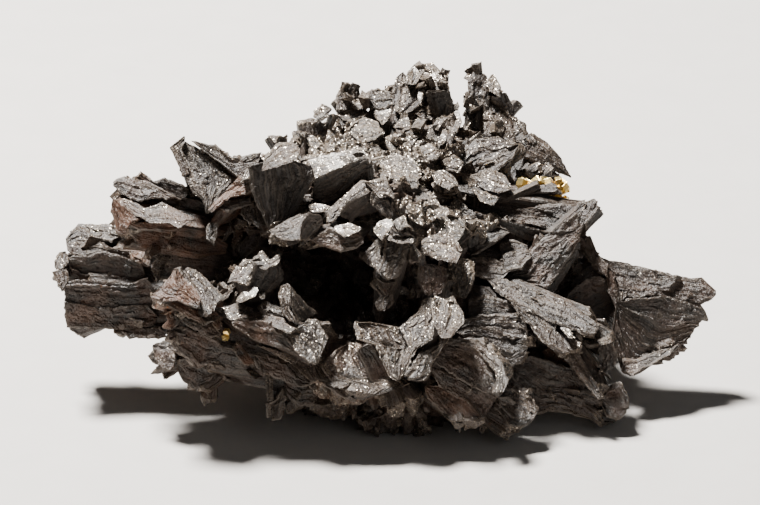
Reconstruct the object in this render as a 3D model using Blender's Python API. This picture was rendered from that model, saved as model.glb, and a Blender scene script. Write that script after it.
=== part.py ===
"""Enargite specimen: one intergrown cluster of fan-shaped, striated blades, with grains of pyrite.

The crystals are laid out in millimetres as (right, back, up) of the specimen's display face.
The display face leans back by LEAN degrees, and the whole stands on its broken, flat underside.
"""

import math
import random
from collections import namedtuple

import bmesh
import bpy
from mathutils import Euler, Matrix, Vector

MM = 0.001

# Driving dimensions: degrees and millimetres.
LEAN = 22.0
FLOOR = -20.0  # height of the flat underside below the layout's origin, after leaning
CENTRE = (0.22, 16.17)  # right and back of the specimen's middle, after leaning
SEAT_GAP = 0.3  # between a pyrite grain and its pocket
FLOOR_CUTTER = (0.2, 0.2, 0.02)  # metres: wider than the specimen, and as deep as its lowest tips

# How uneven the growth is.
BLADE_ROWS = 1
TIP_STEP = 0.09  # how far a column ends past or short of the tip, as a share of the blade's length
FACE_RELIEF = (-0.22, 0.12)  # how far a column's face lies out at the tip, as a share of the depth
LUMP_UNEVENNESS = (0.95, 1.2)
CUBE_UNEVENNESS = (0.75, 1.15)

# A crust's small crystals, as shares of the crust's own length and width.
CRUST_LENGTHS = (0.6, 1.2)
CRUST_WIDTHS = (0.5, 1.2)
CRUST_DEPTHS = (0.35, 0.7)
CRUST_ROOT = 0.5  # width and depth of a crystal's root
CRUST_SLANT = 0.4
CRUST_SPLAY = 0.75  # how far their headings stray
CRUST_ROLL = 80  # degrees
CRUST_SUNK = (0.7, 0.5)  # how much of a crystal lies below and above its place on the crust
CRUST_FLATNESS = 0.8  # how little their places stray along their heading

TOWARDS_VIEWER = Vector((0, -1, 0))

Blade = namedtuple("Blade", "name root tip widths depths roll slant bulge columns")
Lump = namedtuple("Lump", "name centre radii")
Crust = namedtuple("Crust", "name start end spread aim count length width")
Grain = namedtuple("Grain", "name centre spread size count")

# Each blade grows from its narrow root to its wide tip. widths and depths are (root, tip), roll
# turns the broad face about the length, slant is how far the tip's right corner stands past its
# left one, and bulge is how far the tip's middle stands past both.
BLADES = [
    # the wedges at the front
    Blade("front_wedge", (1.4, 2.2, -12.8), (1.4, 5.2, -8.4), (1.2, 7.4), (1.5, 5.5), 0, 1.6, -0.8, 5),
    Blade("front_wedge_right", (2.7, 1.8, -12.7), (6.2, 4.2, -6.4), (0.8, 3.6), (1.5, 5), 20, 0.8, 0.0, 3),
    Blade("front_keel", (-3.2, 5.6, -8.0), (-2.6, 2.4, -13.2), (4.8, 8.4), (2.0, 2.4), 0, 0.4, 1.6, 4),
    Blade("front_keel_right", (1, 4.6, -11.6), (2.8, 3.0, -15.4), (2.0, 4.0), (1.6, 1.8), -15, 0.0, 0.6, 3),
    Blade("front_ledge", (-17.0, 4.4, -5.8), (-5.8, 2.0, -9.2), (1.8, 4.8), (1.6, 2.4), -28, -1.0, 0.4, 5),
    Blade("front_spur", (-15.6, 3.8, -6.6), (-20.8, 2.0, -3.2), (2.4, 3.6), (2.4, 3.0), 42, 0.0, 0.4, 3),
    Blade("front_spur_low", (-16.6, 3.4, -6.2), (-22.6, 2.6, -4.6), (1.8, 1.4), (1.2, 1.4), 30, 0, 0.0, 2),
    Blade("cavity_spike", (-7.8, 2.6, -7.8), (-9.4, 2.2, -3.4), (3.0, 0.9), (1.4, 0.8), 0, 0.0, 0.0, 2),
    Blade("cavity_fan", (-12.4, 4.4, -6.2), (-12.5, 4.6, -0.8), (2.4, 5.0), (2.0, 3.0), 12, 0.4, -0.4, 4),
    Blade("cavity_chip", (-12.0, 3.2, -4.2), (-14.6, 2.0, -4.9), (1.0, 1.3), (0.8, 0.9), 50, 0.0, 0.0, 2),
    # the roof of the cavity and the arch over it
    Blade("roof_right", (-1.2, 6.8, 2.4), (-7.4, 3.6, 1.0), (3.0, 2.4), (2.0, 1.8), 55, 0.5, 0.4, 3),
    Blade("roof_left", (-5.0, 8.0, 3.4), (-11.0, 4.6, 1.9), (2.4, 2.8), (1.8, 2.0), 50, 0.0, 0.4, 3),
    Blade("roof_chip", (-4.6, 8.0, 4.2), (-7.4, 6.4, 4.2), (1.2, 1.4), (0.8, 0.8), 55, 0.0, 0.0, 2),
    Blade("arch_left", (-6.0, 6.6, 1.8), (-0.8, 7.4, 6.6), (2.2, 3.0), (1.4, 2.0), -35, 0.0, 0.0, 3),
    Blade("arch_right", (2.2, 6.6, 1.6), (-0.8, 7.8, 6.8), (1.8, 2.0), (1.6, 2.2), 25, 0.0, 0.0, 3),
    Blade("gate_post", (0.0, 5.8, -7.4), (1.9, 5.2, 2.4), (2.0, 4.2), (1.8, 2.6), -15, 0.6, 0.4, 4),
    Blade("gate_branch", (0.4, 5.8, -3.8), (-1.5, 4.9, -0.2), (1.4, 1.5), (1.0, 1.2), 10, 0.0, 0.0, 2),
    Blade("gate_back", (5.2, 10.4, -7.6), (5.8, 9.2, -0.2), (3.0, 5.2), (2.6, 4.2), 10, -0.6, 0.3, 4),
    Blade("gate_side", (7.6, 11.4, -7.0), (8.6, 10.6, -0.4), (1.8, 2.2), (1.4, 1.8), 15, 0.0, 0.0, 2),
    # upper left
    Blade("slab_dark", (-2.6, 12.4, 3.4), (-4.2, 9.0, 8.4), (4.6, 6.8), (2.4, 3.2), 0, 1.6, 0.0, 4),
    Blade("crown_fan", (-11.0, 10.0, 1.4), (-10.4, 8.2, 9.0), (3.0, 5.2), (2.4, 4.4), 8, 1.6, 0.2, 5),
    Blade("crown_strip", (-17.0, 9.4, 2.6), (-12.2, 8.0, 7.4), (1.4, 2.2), (1.6, 2.0), -25, 0.0, 0.0, 2),
    Blade("crown_tall", (-16.8, 10.6, 1.4), (-17.4, 11.2, 10.2), (1.0, 6.6), (1.0, 2.4), -8, -1.6, 0.3, 5),
    Blade("crown_back", (-13.8, 13.4, 2.6), (-13.8, 13.8, 9.2), (3.0, 5.4), (1.6, 2.4), 0, 0.4, 0.2, 3),
    Blade("left_upper", (-15.6, 12.4, 4.2), (-26.2, 9.6, 6.2), (3.0, 2.2), (2.4, 2.4), 55, 0.0, 0.2, 4),
    Blade("left_lower", (-15.0, 10.6, 2.2), (-26.6, 7.4, 4.4), (3.0, 3.2), (1.8, 2.0), 45, 0.0, 0.2, 4),
    Blade("left_under", (-15.4, 11.6, 0.4), (-26.2, 8.8, 2.6), (3.4, 4.0), (1.8, 2.0), 5, 0.0, 0.0, 4),
    Blade("left_hidden", (-15.0, 13.0, -0.6), (-22.4, 11.0, -0.6), (4.4, 4.6), (2.0, 2.4), 10, 0.0, 0.0, 3),
    # far left
    Blade("far_left_block", (-16, 16, -4.6), (-31.6, 15.6, -3.6), (5.6, 7.8), (5.0, 6.4), 8, -0.8, 0.2, 4),
    Blade("far_left_top", (-17.0, 16.6, -1.4), (-30.8, 15.8, 0.6), (3.2, 4.2), (3.0, 4.0), 35, 0.0, 0.2, 4),
    Blade("far_left_tip", (-22, 14.6, -2.8), (-32.5, 14.0, -2.0), (2.6, 3.6), (2.0, 2.4), 10, 0.0, 0.0, 3),
    Blade("far_left_low", (-13.0, 14.6, -6.6), (-24.0, 14.4, -6.2), (3.4, 3.6), (3.0, 3.4), 0, 0.0, 0.0, 3),
    # lower left
    Blade("layer_high", (-8.0, 5.2, -10.6), (-21.0, 3.8, -6.8), (2.4, 3.2), (1.6, 1.8), 20, 0.0, 0.2, 4),
    Blade("layer_middle", (-7.0, 5.6, -12.2), (-19.8, 5.0, -9.2), (2.4, 2.8), (1.6, 1.8), 0, 0.0, 0.2, 4),
    Blade("layer_low", (-6.0, 6.6, -13.4), (-17.0, 5.8, -11.0), (2.4, 2.4), (2.0, 2.0), -10, 0.0, 0.0, 3),
    Blade("foot_left", (-13.0, 9.0, -9.2), (-22.4, 7.0, -10.6), (3.0, 3.0), (2.4, 3.0), 20, 0.0, 0.2, 3),
    Blade("foot_left_low", (-14.2, 8.4, -9.6), (-18.4, 6.4, -13.2), (3.4, 3), (2.2, 2.4), 10, 0.0, 0.0, 3),
    Blade("prism_short", (-9.4, 6.8, -11.4), (-10.6, 5.0, -16.3), (1.2, 1.5), (1.0, 1.2), 20, 0.0, 0.0, 2),
    Blade("prism_shorter", (-7.6, 7.0, -11.8), (-8.2, 6.0, -15.7), (1.6, 1.6), (1.0, 1.2), 0, 0.0, 0.0, 2),
    Blade("under_lip", (-4.0, 9.0, -12.4), (-4.6, 7.0, -16.0), (4.0, 4.6), (2.0, 2.2), 0, 0.4, 0.0, 3),
    Blade("under_lip_right", (2.0, 9.0, -14.2), (1.8, 7.0, -17.6), (4.0, 6.0), (2.0, 2.2), 10, 0.6, 0.0, 3),
    # lower right
    Blade("petal_high", (4.4, 6.6, -9.2), (11.2, 3.8, -12.4), (2.2, 6.2), (1.6, 2.2), -22, 0.4, 1.2, 5),
    Blade("petal_low", (4.0, 6.0, -12.6), (9.4, 3.2, -16.0), (2.4, 4.4), (1.4, 1.8), -12, 0.0, 0.8, 4),
    Blade("petal_foot", (8.0, 8.0, -14.2), (14.0, 5.2, -16.8), (2.8, 5.0), (1.6, 2.0), -15, 0.0, 0.8, 4),
    Blade("tail_low", (10.0, 12.0, -11.4), (23.4, 9.6, -15.0), (3.4, 4.4), (2.2, 2.8), -8, 0.8, 0.4, 4),
    Blade("tail_splinter", (18.0, 11.0, -7.6), (22.3, 8.8, -13.8), (2.0, 2.6), (1.6, 1.8), 15, 0.0, 0.0, 3),
    Blade("tail_chip", (18.6, 12.0, -6.8), (23.6, 10.6, -9.6), (2.4, 3.0), (1.2, 1.4), -20, 0.0, 0.0, 3),
    Blade("tail_dark", (9.0, 12.4, -8.6), (19.6, 11.4, -10.6), (4.0, 4.6), (2.0, 2.4), 0, 0.0, 0.0, 3),
    Blade("mid_fan", (10.4, 12.4, -2.6), (20.2, 9.2, -8.4), (2.4, 5.6), (1.6, 2.4), -30, 0.8, 0.8, 5),
    Blade("mid_fan_low", (7.4, 9.4, -8.0), (14.4, 8.0, -8.6), (2.0, 5.2), (1.4, 2.0), -12, 0.0, 0.6, 5),
    Blade("mid_fan_left", (9.0, 11.4, -3.4), (12.6, 9.2, -7.6), (2.6, 4.6), (1.6, 1.8), -20, 0.0, 0.2, 3),
    # far right
    Blade("right_fan", (20.0, 17.6, -2.8), (28.8, 15.0, -7.6), (2.6, 10.0), (1.6, 2.4), -18, 1.0, 2.2, 6),
    Blade("right_ridge", (19.0, 18.4, -1.4), (32.6, 16.8, -5.4), (2.0, 2.4), (1.6, 2.2), -45, 0.0, 0.2, 4),
    Blade("right_thorn", (23.6, 16.2, -5.4), (20.4, 16.8, 2.0), (0.9, 1.2), (0.8, 1.0), 0, 0.0, 0.0, 1),
    Blade("right_dark", (16.0, 17.4, -5.6), (22.8, 16.0, -2.6), (3.4, 5.0), (1.6, 2.0), -10, 0.0, 0.4, 4),
    Blade("right_rod", (12.4, 13.6, -4.2), (21.4, 17.4, 4.6), (3.4, 2.6), (2.2, 2.2), 25, 0.0, 0.4, 3),
    Blade("long_blade", (6.0, 17.6, 6.4), (21.0, 19.6, 4.2), (2.4, 2.2), (2.4, 2.4), -45, 0.0, 0.0, 4),
    Blade("long_blade_low", (7.0, 18.0, 3.4), (18.4, 19.6, 1.8), (2.6, 2.6), (1.6, 1.8), -5, 0.0, 0.0, 3),
    Blade("inner_fan", (8.8, 15.8, -2.0), (14.4, 15.8, 1.8), (2.4, 4.8), (1.6, 2.2), -15, 0.0, 0.4, 4),
    Blade("pyrite_bed", (9.0, 22.4, 4.6), (18.2, 22.6, 4.8), (4.0, 4.4), (3.4, 3.6), 0, 0.0, 0.0, 2),
    Blade("inner_fan_low", (7.0, 13.6, 0.0), (15.2, 13.8, -1.2), (2.2, 3.2), (1.4, 1.8), -40, 0.0, 0.2, 3),
    # the two peaks at the back
    Blade("peak_left", (4.6, 27.4, 9.2), (4.7, 30.4, 18.1), (3.4, 4.2), (2.6, 3.4), 10, 0.0, 0.4, 4),
    Blade("peak_left_side", (2.8, 26.4, 9.4), (2.0, 29.4, 16.6), (2.6, 3.2), (1.8, 2.0), -15, 0.6, 0.0, 3),
    Blade("peak_left_front", (6.0, 25.8, 8.8), (6.8, 27.4, 15.4), (2.2, 2.6), (1.6, 1.8), 20, 0.0, 0.0, 3),
    Blade("peak_saddle", (8.2, 25.6, 6.0), (8.5, 27.0, 12.4), (3.6, 4.2), (1.8, 2.0), 5, -0.6, 0.0, 2),
    Blade("peak_right", (11.2, 28.4, 7.4), (10.4, 31.2, 17.6), (3.4, 2.6), (2.2, 2.4), -20, -0.6, 0.2, 3),
    Blade("peak_right_side", (12.4, 28.4, 7.4), (12.8, 31, 15.8), (3.2, 3.4), (2.0, 2.2), 25, -2.0, 0.0, 3),
    Blade("peak_right_low", (12.6, 27.4, 5), (16.0, 29.4, 11.0), (3.2, 3.8), (2.0, 2.2), 20, -0.8, 0.0, 3),
    Blade("peak_right_foot", (12.8, 26.2, 3.6), (18.2, 27.4, 8), (3.0, 3.0), (2.0, 2.2), 20, -0.6, 0.0, 3),
    Blade("peak_brace", (7.6, 24.0, 6.6), (14.2, 25.2, 11.2), (2.6, 3.0), (1.6, 2.0), -35, 0.0, 0.0, 3),
    Blade("ridge_thumb", (-2.8, 24.6, 10.0), (-3.4, 25.8, 16.8), (2.2, 2.2), (1.6, 1.6), 10, 0.0, 0.2, 2),
    Blade("ridge_step", (-0.6, 24.6, 10.0), (-0.6, 25.6, 15.4), (3.0, 3.6), (1.8, 1.8), -10, 0.4, 0.0, 3),
    Blade("ridge_left", (-6.0, 18.4, 7.6), (-6.6, 19.4, 13.6), (3.0, 3.4), (2.0, 2.4), 10, 0.6, 0.0, 3),
    Blade("ridge_end", (-8.6, 15.2, 6.4), (-9.2, 16.2, 11.6), (2.8, 3.4), (2.0, 2.2), 0, 0.8, 0.0, 3),
    # the far side
    Blade("rear_left", (-12.0, 20.0, 2.0), (-20.0, 25.0, 4.0), (2.6, 6.4), (2.2, 3.0), 30, 0.0, 0.8, 3),
    Blade("rear_left_low", (-12, 20, -3), (-20, 25, -3), (2.6, 5.6), (2.0, 2.8), 15, 0.0, 0.8, 3),
    Blade("rear_middle", (-4.0, 25.0, 4.0), (-8.0, 32.0, 7.0), (3.0, 6.6), (2.2, 3.0), 20, 0.0, 0.8, 3),
    Blade("rear_middle_low", (-3, 24, -1), (-7, 32, -1), (3.0, 6.4), (2.2, 3.0), -15, 0.0, 0.8, 3),
    Blade("rear_right", (6.0, 29.0, 4.0), (7.0, 35.0, 9.0), (3.0, 6.0), (2.2, 2.8), -20, 0.0, 0.6, 3),
    Blade("rear_right_low", (6.0, 26.0, 0.0), (8.0, 34.0, 1.0), (3.0, 6.6), (2.2, 3.0), 10, 0.0, 0.8, 3),
    Blade("rear_far_right", (13.0, 22.0, 0.0), (21.0, 27.0, 1.0), (2.8, 6.6), (2.0, 3.0), 20, 0.0, 0.8, 3),
    Blade("rear_far_right_low", (13, 19, -4), (22, 23, -6), (2.8, 6.0), (2.0, 2.8), -10, 0.0, 0.8, 3),
    Blade("rear_foot", (2.0, 22.0, -7.0), (1.0, 30.0, -7.0), (3.4, 6.6), (2.4, 2.6), 0, 0.0, 0.6, 3),
]

# The massive ore that the blades radiate from.
LUMPS = [
    Lump("heart", (3.4, 19.4, -2.6), (11.4, 8.4, 8.8)),
    Lump("left", (-14.0, 17.0, -1.4), (9.4, 6.2, 5.4)),
    Lump("crown", (-10.8, 15.2, 4.0), (9.8, 5.2, 3.8)),
    Lump("arch", (-1.6, 13.6, 4.8), (6.0, 4.8, 3.6)),
    Lump("top", (4.0, 24.6, 6.2), (10.6, 7.2, 6.2)),
    Lump("right", (15.4, 20.0, -3.8), (8.4, 5.4, 5.0)),
    Lump("gate", (4.8, 12.4, -3.8), (4.2, 4.8, 7.2)),
    Lump("base", (3.0, 15.4, -13.0), (13.2, 9.4, 6.8)),
    Lump("base_rear", (1.0, 23.4, -9.4), (10.0, 6.6, 5.4)),
    Lump("keel", (1.6, 8.4, -11.8), (6.8, 4.8, 4.6)),
    Lump("sill", (-7.4, 9.2, -10.0), (10.0, 4.8, 3.0)),
    Lump("cavity_back", (-6.4, 17.4, -5.4), (7.4, 3.6, 6.4)),
    Lump("shoulder", (-15.4, 10.4, -5.6), (4.8, 5.8, 3.6)),
]

# Strips of small crystals, scattered along a line and pointing about one way.
CRUSTS = [
    Crust("brow", (4.8, 9.6, 1.0), (4.4, 20.4, 9.6), 3.6, (0.1, -0.6, 0.8), 22, 3.0, 2.8),
    Crust("summit", (1.0, 19.0, 9.6), (6.0, 27.0, 12.6), 4.4, (0.0, -0.3, 0.9), 16, 3.2, 2.6),
    Crust("saddle", (8.6, 14.0, 2.6), (12.4, 25.0, 8.0), 3.2, (0.3, -0.5, 0.8), 12, 3.0, 2.6),
    Crust("ridge", (-8.0, 13.4, 8.2), (-1.0, 22.0, 11.0), 2.4, (-0.2, -0.4, 0.9), 12, 3.0, 3.0),
    Crust("rear", (-14.0, 22.0, 0.0), (16.0, 24.0, 0.0), 5.0, (0.0, 1.0, 0.2), 8, 4.4, 3.4),
    Crust("hem", (-3.0, 9.0, -15.4), (8.4, 7.6, -17.8), 1.4, (0.0, -0.8, -0.6), 8, 2.4, 2.0),
    Crust("sill", (-15.0, 6.6, -7.4), (-2.0, 6.4, -8.6), 1.2, (-0.2, -0.7, 0.6), 8, 2.6, 2.0),
]

# Intergrown cubes of pyrite: each grain's centre, how far its cubes stray, their size and count.
GRAINS = [
    Grain("pyrite_cluster", (16.4, 21.8, 6.6), (2.2, 0.7, 0.5), 1.7, 8),
    Grain("pyrite_grain", (-15.3, 2.9, -8.3), (0.1, 0.1, 0.35), 0.9, 2),
]


def leaned(point):
    """A layout point, in mm, as a place in the part's own frame, in metres."""
    lean = Matrix.Rotation(-math.radians(LEAN), 3, "X")
    turned = lean @ Vector(point)
    return Vector((turned.x - CENTRE[0], turned.y - CENTRE[1], turned.z - FLOOR)) * MM


def blade_axes(blade):
    """The blade's width, length and face directions in the layout."""
    length = (Vector(blade.tip) - Vector(blade.root)).normalized()
    width = length.cross(TOWARDS_VIEWER)
    if width.length < 0.2:
        width = length.cross(Vector((0, 0, 1)))
    width.normalize()
    width = Matrix.Rotation(math.radians(blade.roll), 3, length) @ width
    return width, length, width.cross(length)


def blade_mesh(bm, blade):
    """Adds one closed blade: a grid of columns, drawn out into a slab with a stepped tip."""
    rng = random.Random(blade.name)
    across, along, facing = blade_axes(blade)
    root, tip = Vector(blade.root), Vector(blade.tip)
    reach = (tip - root).length
    steps = [rng.uniform(-TIP_STEP, TIP_STEP) * reach for _ in range(blade.columns + 1)]
    front = [rng.uniform(*FACE_RELIEF) for _ in range(blade.columns + 1)]
    back = [rng.uniform(*FACE_RELIEF) for _ in range(blade.columns + 1)]

    grid = bmesh.ops.create_grid(bm, x_segments=blade.columns, y_segments=BLADE_ROWS, size=0.5)
    faces = list({face for vert in grid["verts"] for face in vert.link_faces})
    drawn = bmesh.ops.extrude_face_region(bm, geom=faces)["geom"]
    far_side = [item for item in drawn if isinstance(item, bmesh.types.BMVert)]
    for vert in far_side:
        vert.co.z = 1.0
    for vert in grid["verts"] + far_side:
        share = vert.co.y + 0.5
        column = round((vert.co.x + 0.5) * blade.columns)
        width = blade.widths[0] + (blade.widths[1] - blade.widths[0]) * share
        depth = blade.depths[0] + (blade.depths[1] - blade.depths[0]) * share
        relief = front[column] if vert.co.z > 0.5 else back[column]
        side = 0.5 + relief * share if vert.co.z > 0.5 else -0.5 - relief * share
        rim = blade.slant * vert.co.x + blade.bulge * (1.0 - 4.0 * vert.co.x**2)
        out = reach * share + (steps[column] + rim) * share * share
        vert.co = leaned(root + across * width * vert.co.x + along * out + facing * depth * side)
    return grid["verts"] + far_side


def crust_blades(crust):
    """The strip's small crystals, as blades."""
    rng = random.Random(crust.name)
    start, end, aim = Vector(crust.start), Vector(crust.end), Vector(crust.aim).normalized()
    found = []
    for number in range(crust.count):
        share = rng.random()
        offset = Vector([rng.uniform(-1, 1) * crust.spread for _ in range(3)])
        offset -= aim * offset.dot(aim) * CRUST_FLATNESS
        splay = Vector([rng.uniform(-CRUST_SPLAY, CRUST_SPLAY) for _ in range(3)])
        heading = (aim + splay).normalized()
        middle = start.lerp(end, share) + offset
        length = crust.length * rng.uniform(*CRUST_LENGTHS)
        width = crust.width * rng.uniform(*CRUST_WIDTHS)
        depth = width * rng.uniform(*CRUST_DEPTHS)
        found.append(
            Blade(
                name=f"{crust.name}_{number}",
                root=tuple(middle - heading * length * CRUST_SUNK[0]),
                tip=tuple(middle + heading * length * CRUST_SUNK[1]),
                widths=(width * CRUST_ROOT, width),
                depths=(depth * CRUST_ROOT, depth),
                roll=rng.uniform(-CRUST_ROLL, CRUST_ROLL),
                slant=rng.uniform(-CRUST_SLANT, CRUST_SLANT) * width,
                bulge=0.0,
                columns=1,
            )
        )
    return found


def lump_mesh(bm, lump):
    """Adds one faceted lump of massive ore."""
    rng = random.Random(lump.name)
    made = bmesh.ops.create_icosphere(bm, subdivisions=1, radius=1.0)
    for vert in made["verts"]:
        uneven = vert.co * rng.uniform(*LUMP_UNEVENNESS)
        spot = Vector([lump.centre[i] + lump.radii[i] * uneven[i] for i in range(3)])
        vert.co = leaned(spot)


def new_object(name, bm, collection):
    mesh = bpy.data.meshes.new(name)
    bmesh.ops.recalc_face_normals(bm, faces=bm.faces[:])
    bm.to_mesh(mesh)
    bm.free()
    made = bpy.data.objects.new(name, mesh)
    collection.objects.link(made)
    return made


def hide_guide(guide):
    guide.hide_render = True
    guide.display_type = "WIRE"


def plain_material(name, colour, roughness, metallic):
    material = bpy.data.materials.new(name)
    material.use_nodes = True
    shader = material.node_tree.nodes["Principled BSDF"]
    shader.inputs["Base Color"].default_value = (*colour, 1.0)
    shader.inputs["Roughness"].default_value = roughness
    shader.inputs["Metallic"].default_value = metallic
    return material


def add_boolean(target, operation, cutter):
    boolean = target.modifiers.new(operation.title(), "BOOLEAN")
    boolean.operation = operation
    boolean.solver = "EXACT"
    boolean.object = cutter
    return boolean


def as_evaluated(target):
    """The object's mesh with its modifiers worked in."""
    graph = bpy.context.evaluated_depsgraph_get()
    return bpy.data.meshes.new_from_object(target.evaluated_get(graph))


def keep_largest_shell(mesh):
    """Fills the voids sealed between the crystals by dropping every shell but the outer one."""
    bm = bmesh.new()
    bm.from_mesh(mesh)
    unseen = set(bm.faces)
    shells = []
    while unseen:
        shell, reached = set(), [unseen.pop()]
        while reached:
            face = reached.pop()
            shell.add(face)
            touching = {other for edge in face.edges for other in edge.link_faces} & unseen
            unseen -= touching
            reached += touching
        shells.append(shell)
    largest = max(shells, key=len)
    hidden = [face for shell in shells if shell is not largest for face in shell]
    bmesh.ops.delete(bm, geom=hidden, context="FACES")
    bm.to_mesh(mesh)
    bm.free()


def floor_cutter(scene):
    """A slab whose top is the flat face that the specimen stands on."""
    bm = bmesh.new()
    bmesh.ops.create_cube(bm, size=1.0)
    bmesh.ops.scale(bm, vec=FLOOR_CUTTER, verts=bm.verts[:])
    bmesh.ops.translate(bm, vec=(0, 0, -FLOOR_CUTTER[2] / 2), verts=bm.verts[:])
    cutter = new_object("floor_cutter", bm, scene)
    hide_guide(cutter)
    return cutter


def grain_object(scene, grain, name, gap):
    """A grain's cubes joined in one solid, each face moved out by the gap."""
    rng = random.Random(grain.name)
    first, others = bmesh.new(), bmesh.new()
    for number in range(grain.count):
        share = (number + 0.5) / grain.count - 0.5
        stray = [rng.uniform(-0.5, 0.5) * spread for spread in grain.spread[1:]]
        spot = Vector(grain.centre) + Vector((2 * share * grain.spread[0], *stray))
        size = grain.size * rng.uniform(*CUBE_UNEVENNESS) + 2 * gap
        turn = Euler([rng.uniform(0, math.pi / 2) for _ in range(3)]).to_matrix()
        place = Matrix.Translation(leaned(spot)) @ turn.to_4x4() @ Matrix.Scale(size * MM, 4)
        bmesh.ops.create_cube(first if number == 0 else others, size=1.0, matrix=place)
    made = new_object(name, first, scene)
    guide = new_object(f"{name}_cubes", others, scene)
    hide_guide(guide)
    add_boolean(made, "UNION", guide).use_self = True
    return made


def enargite_cluster(scene):
    """All the crystals and the massive ore, joined in one solid and cut flat underneath."""
    blades = BLADES + [blade for crust in CRUSTS for blade in crust_blades(crust)]
    bm = bmesh.new()
    for blade in blades:
        blade_mesh(bm, blade)
    for lump in LUMPS[1:]:
        lump_mesh(bm, lump)
    grown = new_object("grown_crystals", bm, scene)
    hide_guide(grown)

    bm = bmesh.new()
    lump_mesh(bm, LUMPS[0])
    cluster = new_object("enargite_cluster", bm, scene)
    add_boolean(cluster, "UNION", grown).use_self = True
    add_boolean(cluster, "DIFFERENCE", floor_cutter(scene))
    for grain in GRAINS:
        pocket = grain_object(scene, grain, f"{grain.name}_pocket", SEAT_GAP)
        hide_guide(pocket)
        add_boolean(cluster, "DIFFERENCE", pocket)
    cluster.data = as_evaluated(cluster)
    cluster.modifiers.clear()
    keep_largest_shell(cluster.data)
    cluster.data.materials.append(plain_material("enargite", (0.11, 0.10, 0.095), 0.42, 0.75))
    return cluster


def pyrite_grains(scene):
    for grain in GRAINS:
        made = grain_object(scene, grain, grain.name, 0.0)
        made.data.materials.append(plain_material("pyrite", (0.62, 0.45, 0.16), 0.28, 1.0))


def main():
    for old in list(bpy.data.objects):
        bpy.data.objects.remove(old)
    scene = bpy.context.scene.collection
    enargite_cluster(scene)
    pyrite_grains(scene)


main()
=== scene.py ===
"""The looks of an enargite specimen: striated, fan-shaped crystals grown together, with grains of pyrite.

The crystals are laid out in millimetres as (right, back, up) of the specimen's display face, which
leans back by a set angle. Every crystal starts as a block cut into columns, rows and layers. It is
drawn out to its wedge, broken into laths along its growth and weathered. Broken plates, each cut to
its own outline, cover the crystals of the display face. The crystals and the plates of one region
are joined into one piece.
"""

import math
import random
from collections import namedtuple
from functools import cache

import bmesh
import bpy
import numpy as np
from bpy.props import EnumProperty, FloatProperty, FloatVectorProperty, IntProperty, PointerProperty
from mathutils import Euler, Matrix, Vector, noise
from mathutils.bvhtree import BVHTree
from mathutils.kdtree import KDTree


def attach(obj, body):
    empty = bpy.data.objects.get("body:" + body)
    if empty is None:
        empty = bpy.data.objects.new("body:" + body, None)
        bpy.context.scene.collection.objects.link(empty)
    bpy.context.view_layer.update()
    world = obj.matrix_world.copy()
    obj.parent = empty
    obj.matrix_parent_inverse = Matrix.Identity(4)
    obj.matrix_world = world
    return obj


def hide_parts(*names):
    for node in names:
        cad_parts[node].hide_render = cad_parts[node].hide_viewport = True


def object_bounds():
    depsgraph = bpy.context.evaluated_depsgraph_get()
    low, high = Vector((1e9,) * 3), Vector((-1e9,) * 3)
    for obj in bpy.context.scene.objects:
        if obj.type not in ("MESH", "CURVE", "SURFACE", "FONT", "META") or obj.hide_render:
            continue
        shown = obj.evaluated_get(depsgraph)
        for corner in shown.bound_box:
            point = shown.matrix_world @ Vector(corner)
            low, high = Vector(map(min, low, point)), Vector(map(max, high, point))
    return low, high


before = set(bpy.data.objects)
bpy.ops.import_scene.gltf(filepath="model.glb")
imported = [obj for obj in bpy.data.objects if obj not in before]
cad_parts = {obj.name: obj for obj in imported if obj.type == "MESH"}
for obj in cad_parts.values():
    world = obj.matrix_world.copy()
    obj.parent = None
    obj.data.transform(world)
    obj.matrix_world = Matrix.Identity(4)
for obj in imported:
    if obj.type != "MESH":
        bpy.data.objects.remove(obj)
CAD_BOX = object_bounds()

bl_info = {
    "name": "Enargite Specimen",
    "version": (1, 0, 0),
    "blender": (4, 5, 0),
    "location": "View3D > Sidebar > Specimen",
    "description": "Builds the crystals, ore, pyrite and stage of an enargite specimen",
    "category": "Object",
}

MM = 0.001
LEAN = math.radians(22.0)
FLOOR = -20.0  # height of the flat underside below the layout's origin, after leaning
CENTRE = (0.22, 16.17)  # right and back of the specimen's middle, after leaning
TOWARDS_VIEWER = Vector((0, -1, 0))
VIEW = Vector((0, math.cos(LEAN), -math.sin(LEAN)))  # where the camera looks, in the part's own frame

# How uneven the growth is, as in the solids. Ranges are (least, most).
TIP_STEP = 0.09  # how far a column's tip stands out or falls short, as a share of the crystal's length
FACE_RELIEF = (-0.22, 0.12)  # how far a column's face stands out, as a share of the depth
LUMP_UNEVENNESS = (0.95, 1.2)
CUBE_UNEVENNESS = (0.75, 1.15)

# The small crystals of a crust: shares of its length and width, then how they stray.
CRUST_LENGTHS = (0.6, 1.2)
CRUST_WIDTHS = (0.5, 1.2)
CRUST_DEPTHS = (0.35, 0.7)
CRUST_ROOT = 0.5
CRUST_SLANT = 0.4
CRUST_SPLAY = 0.75
CRUST_ROLL = 80
CRUST_SUNK = (0.7, 0.5)
CRUST_FLATNESS = 0.8

# The smaller crystals on a blade: lengths and widths in millimetres, and shares of the blade.
SHARD_LENGTHS = (2.6, 5.6)
SHARD_WIDTHS = (0.9, 2.6)
SHARD_DEPTHS = (0.35, 0.8)
SHARD_ROOTS = (0.1, 0.5)
SHARD_BACKS = (0.3, 0.8)
SHARD_PLACES = (0.45, 1.0)
SHARD_LARGEST = 0.7
SHARD_SUNK = 0.9
SHARD_ROLL = 45
SHARD_SLANT = 0.4
SHARD_BULGE = (0.0, 0.2)
ON_EDGE = 0.3  # the share of the smaller crystals that grow on a blade's edges, not on its faces

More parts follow.
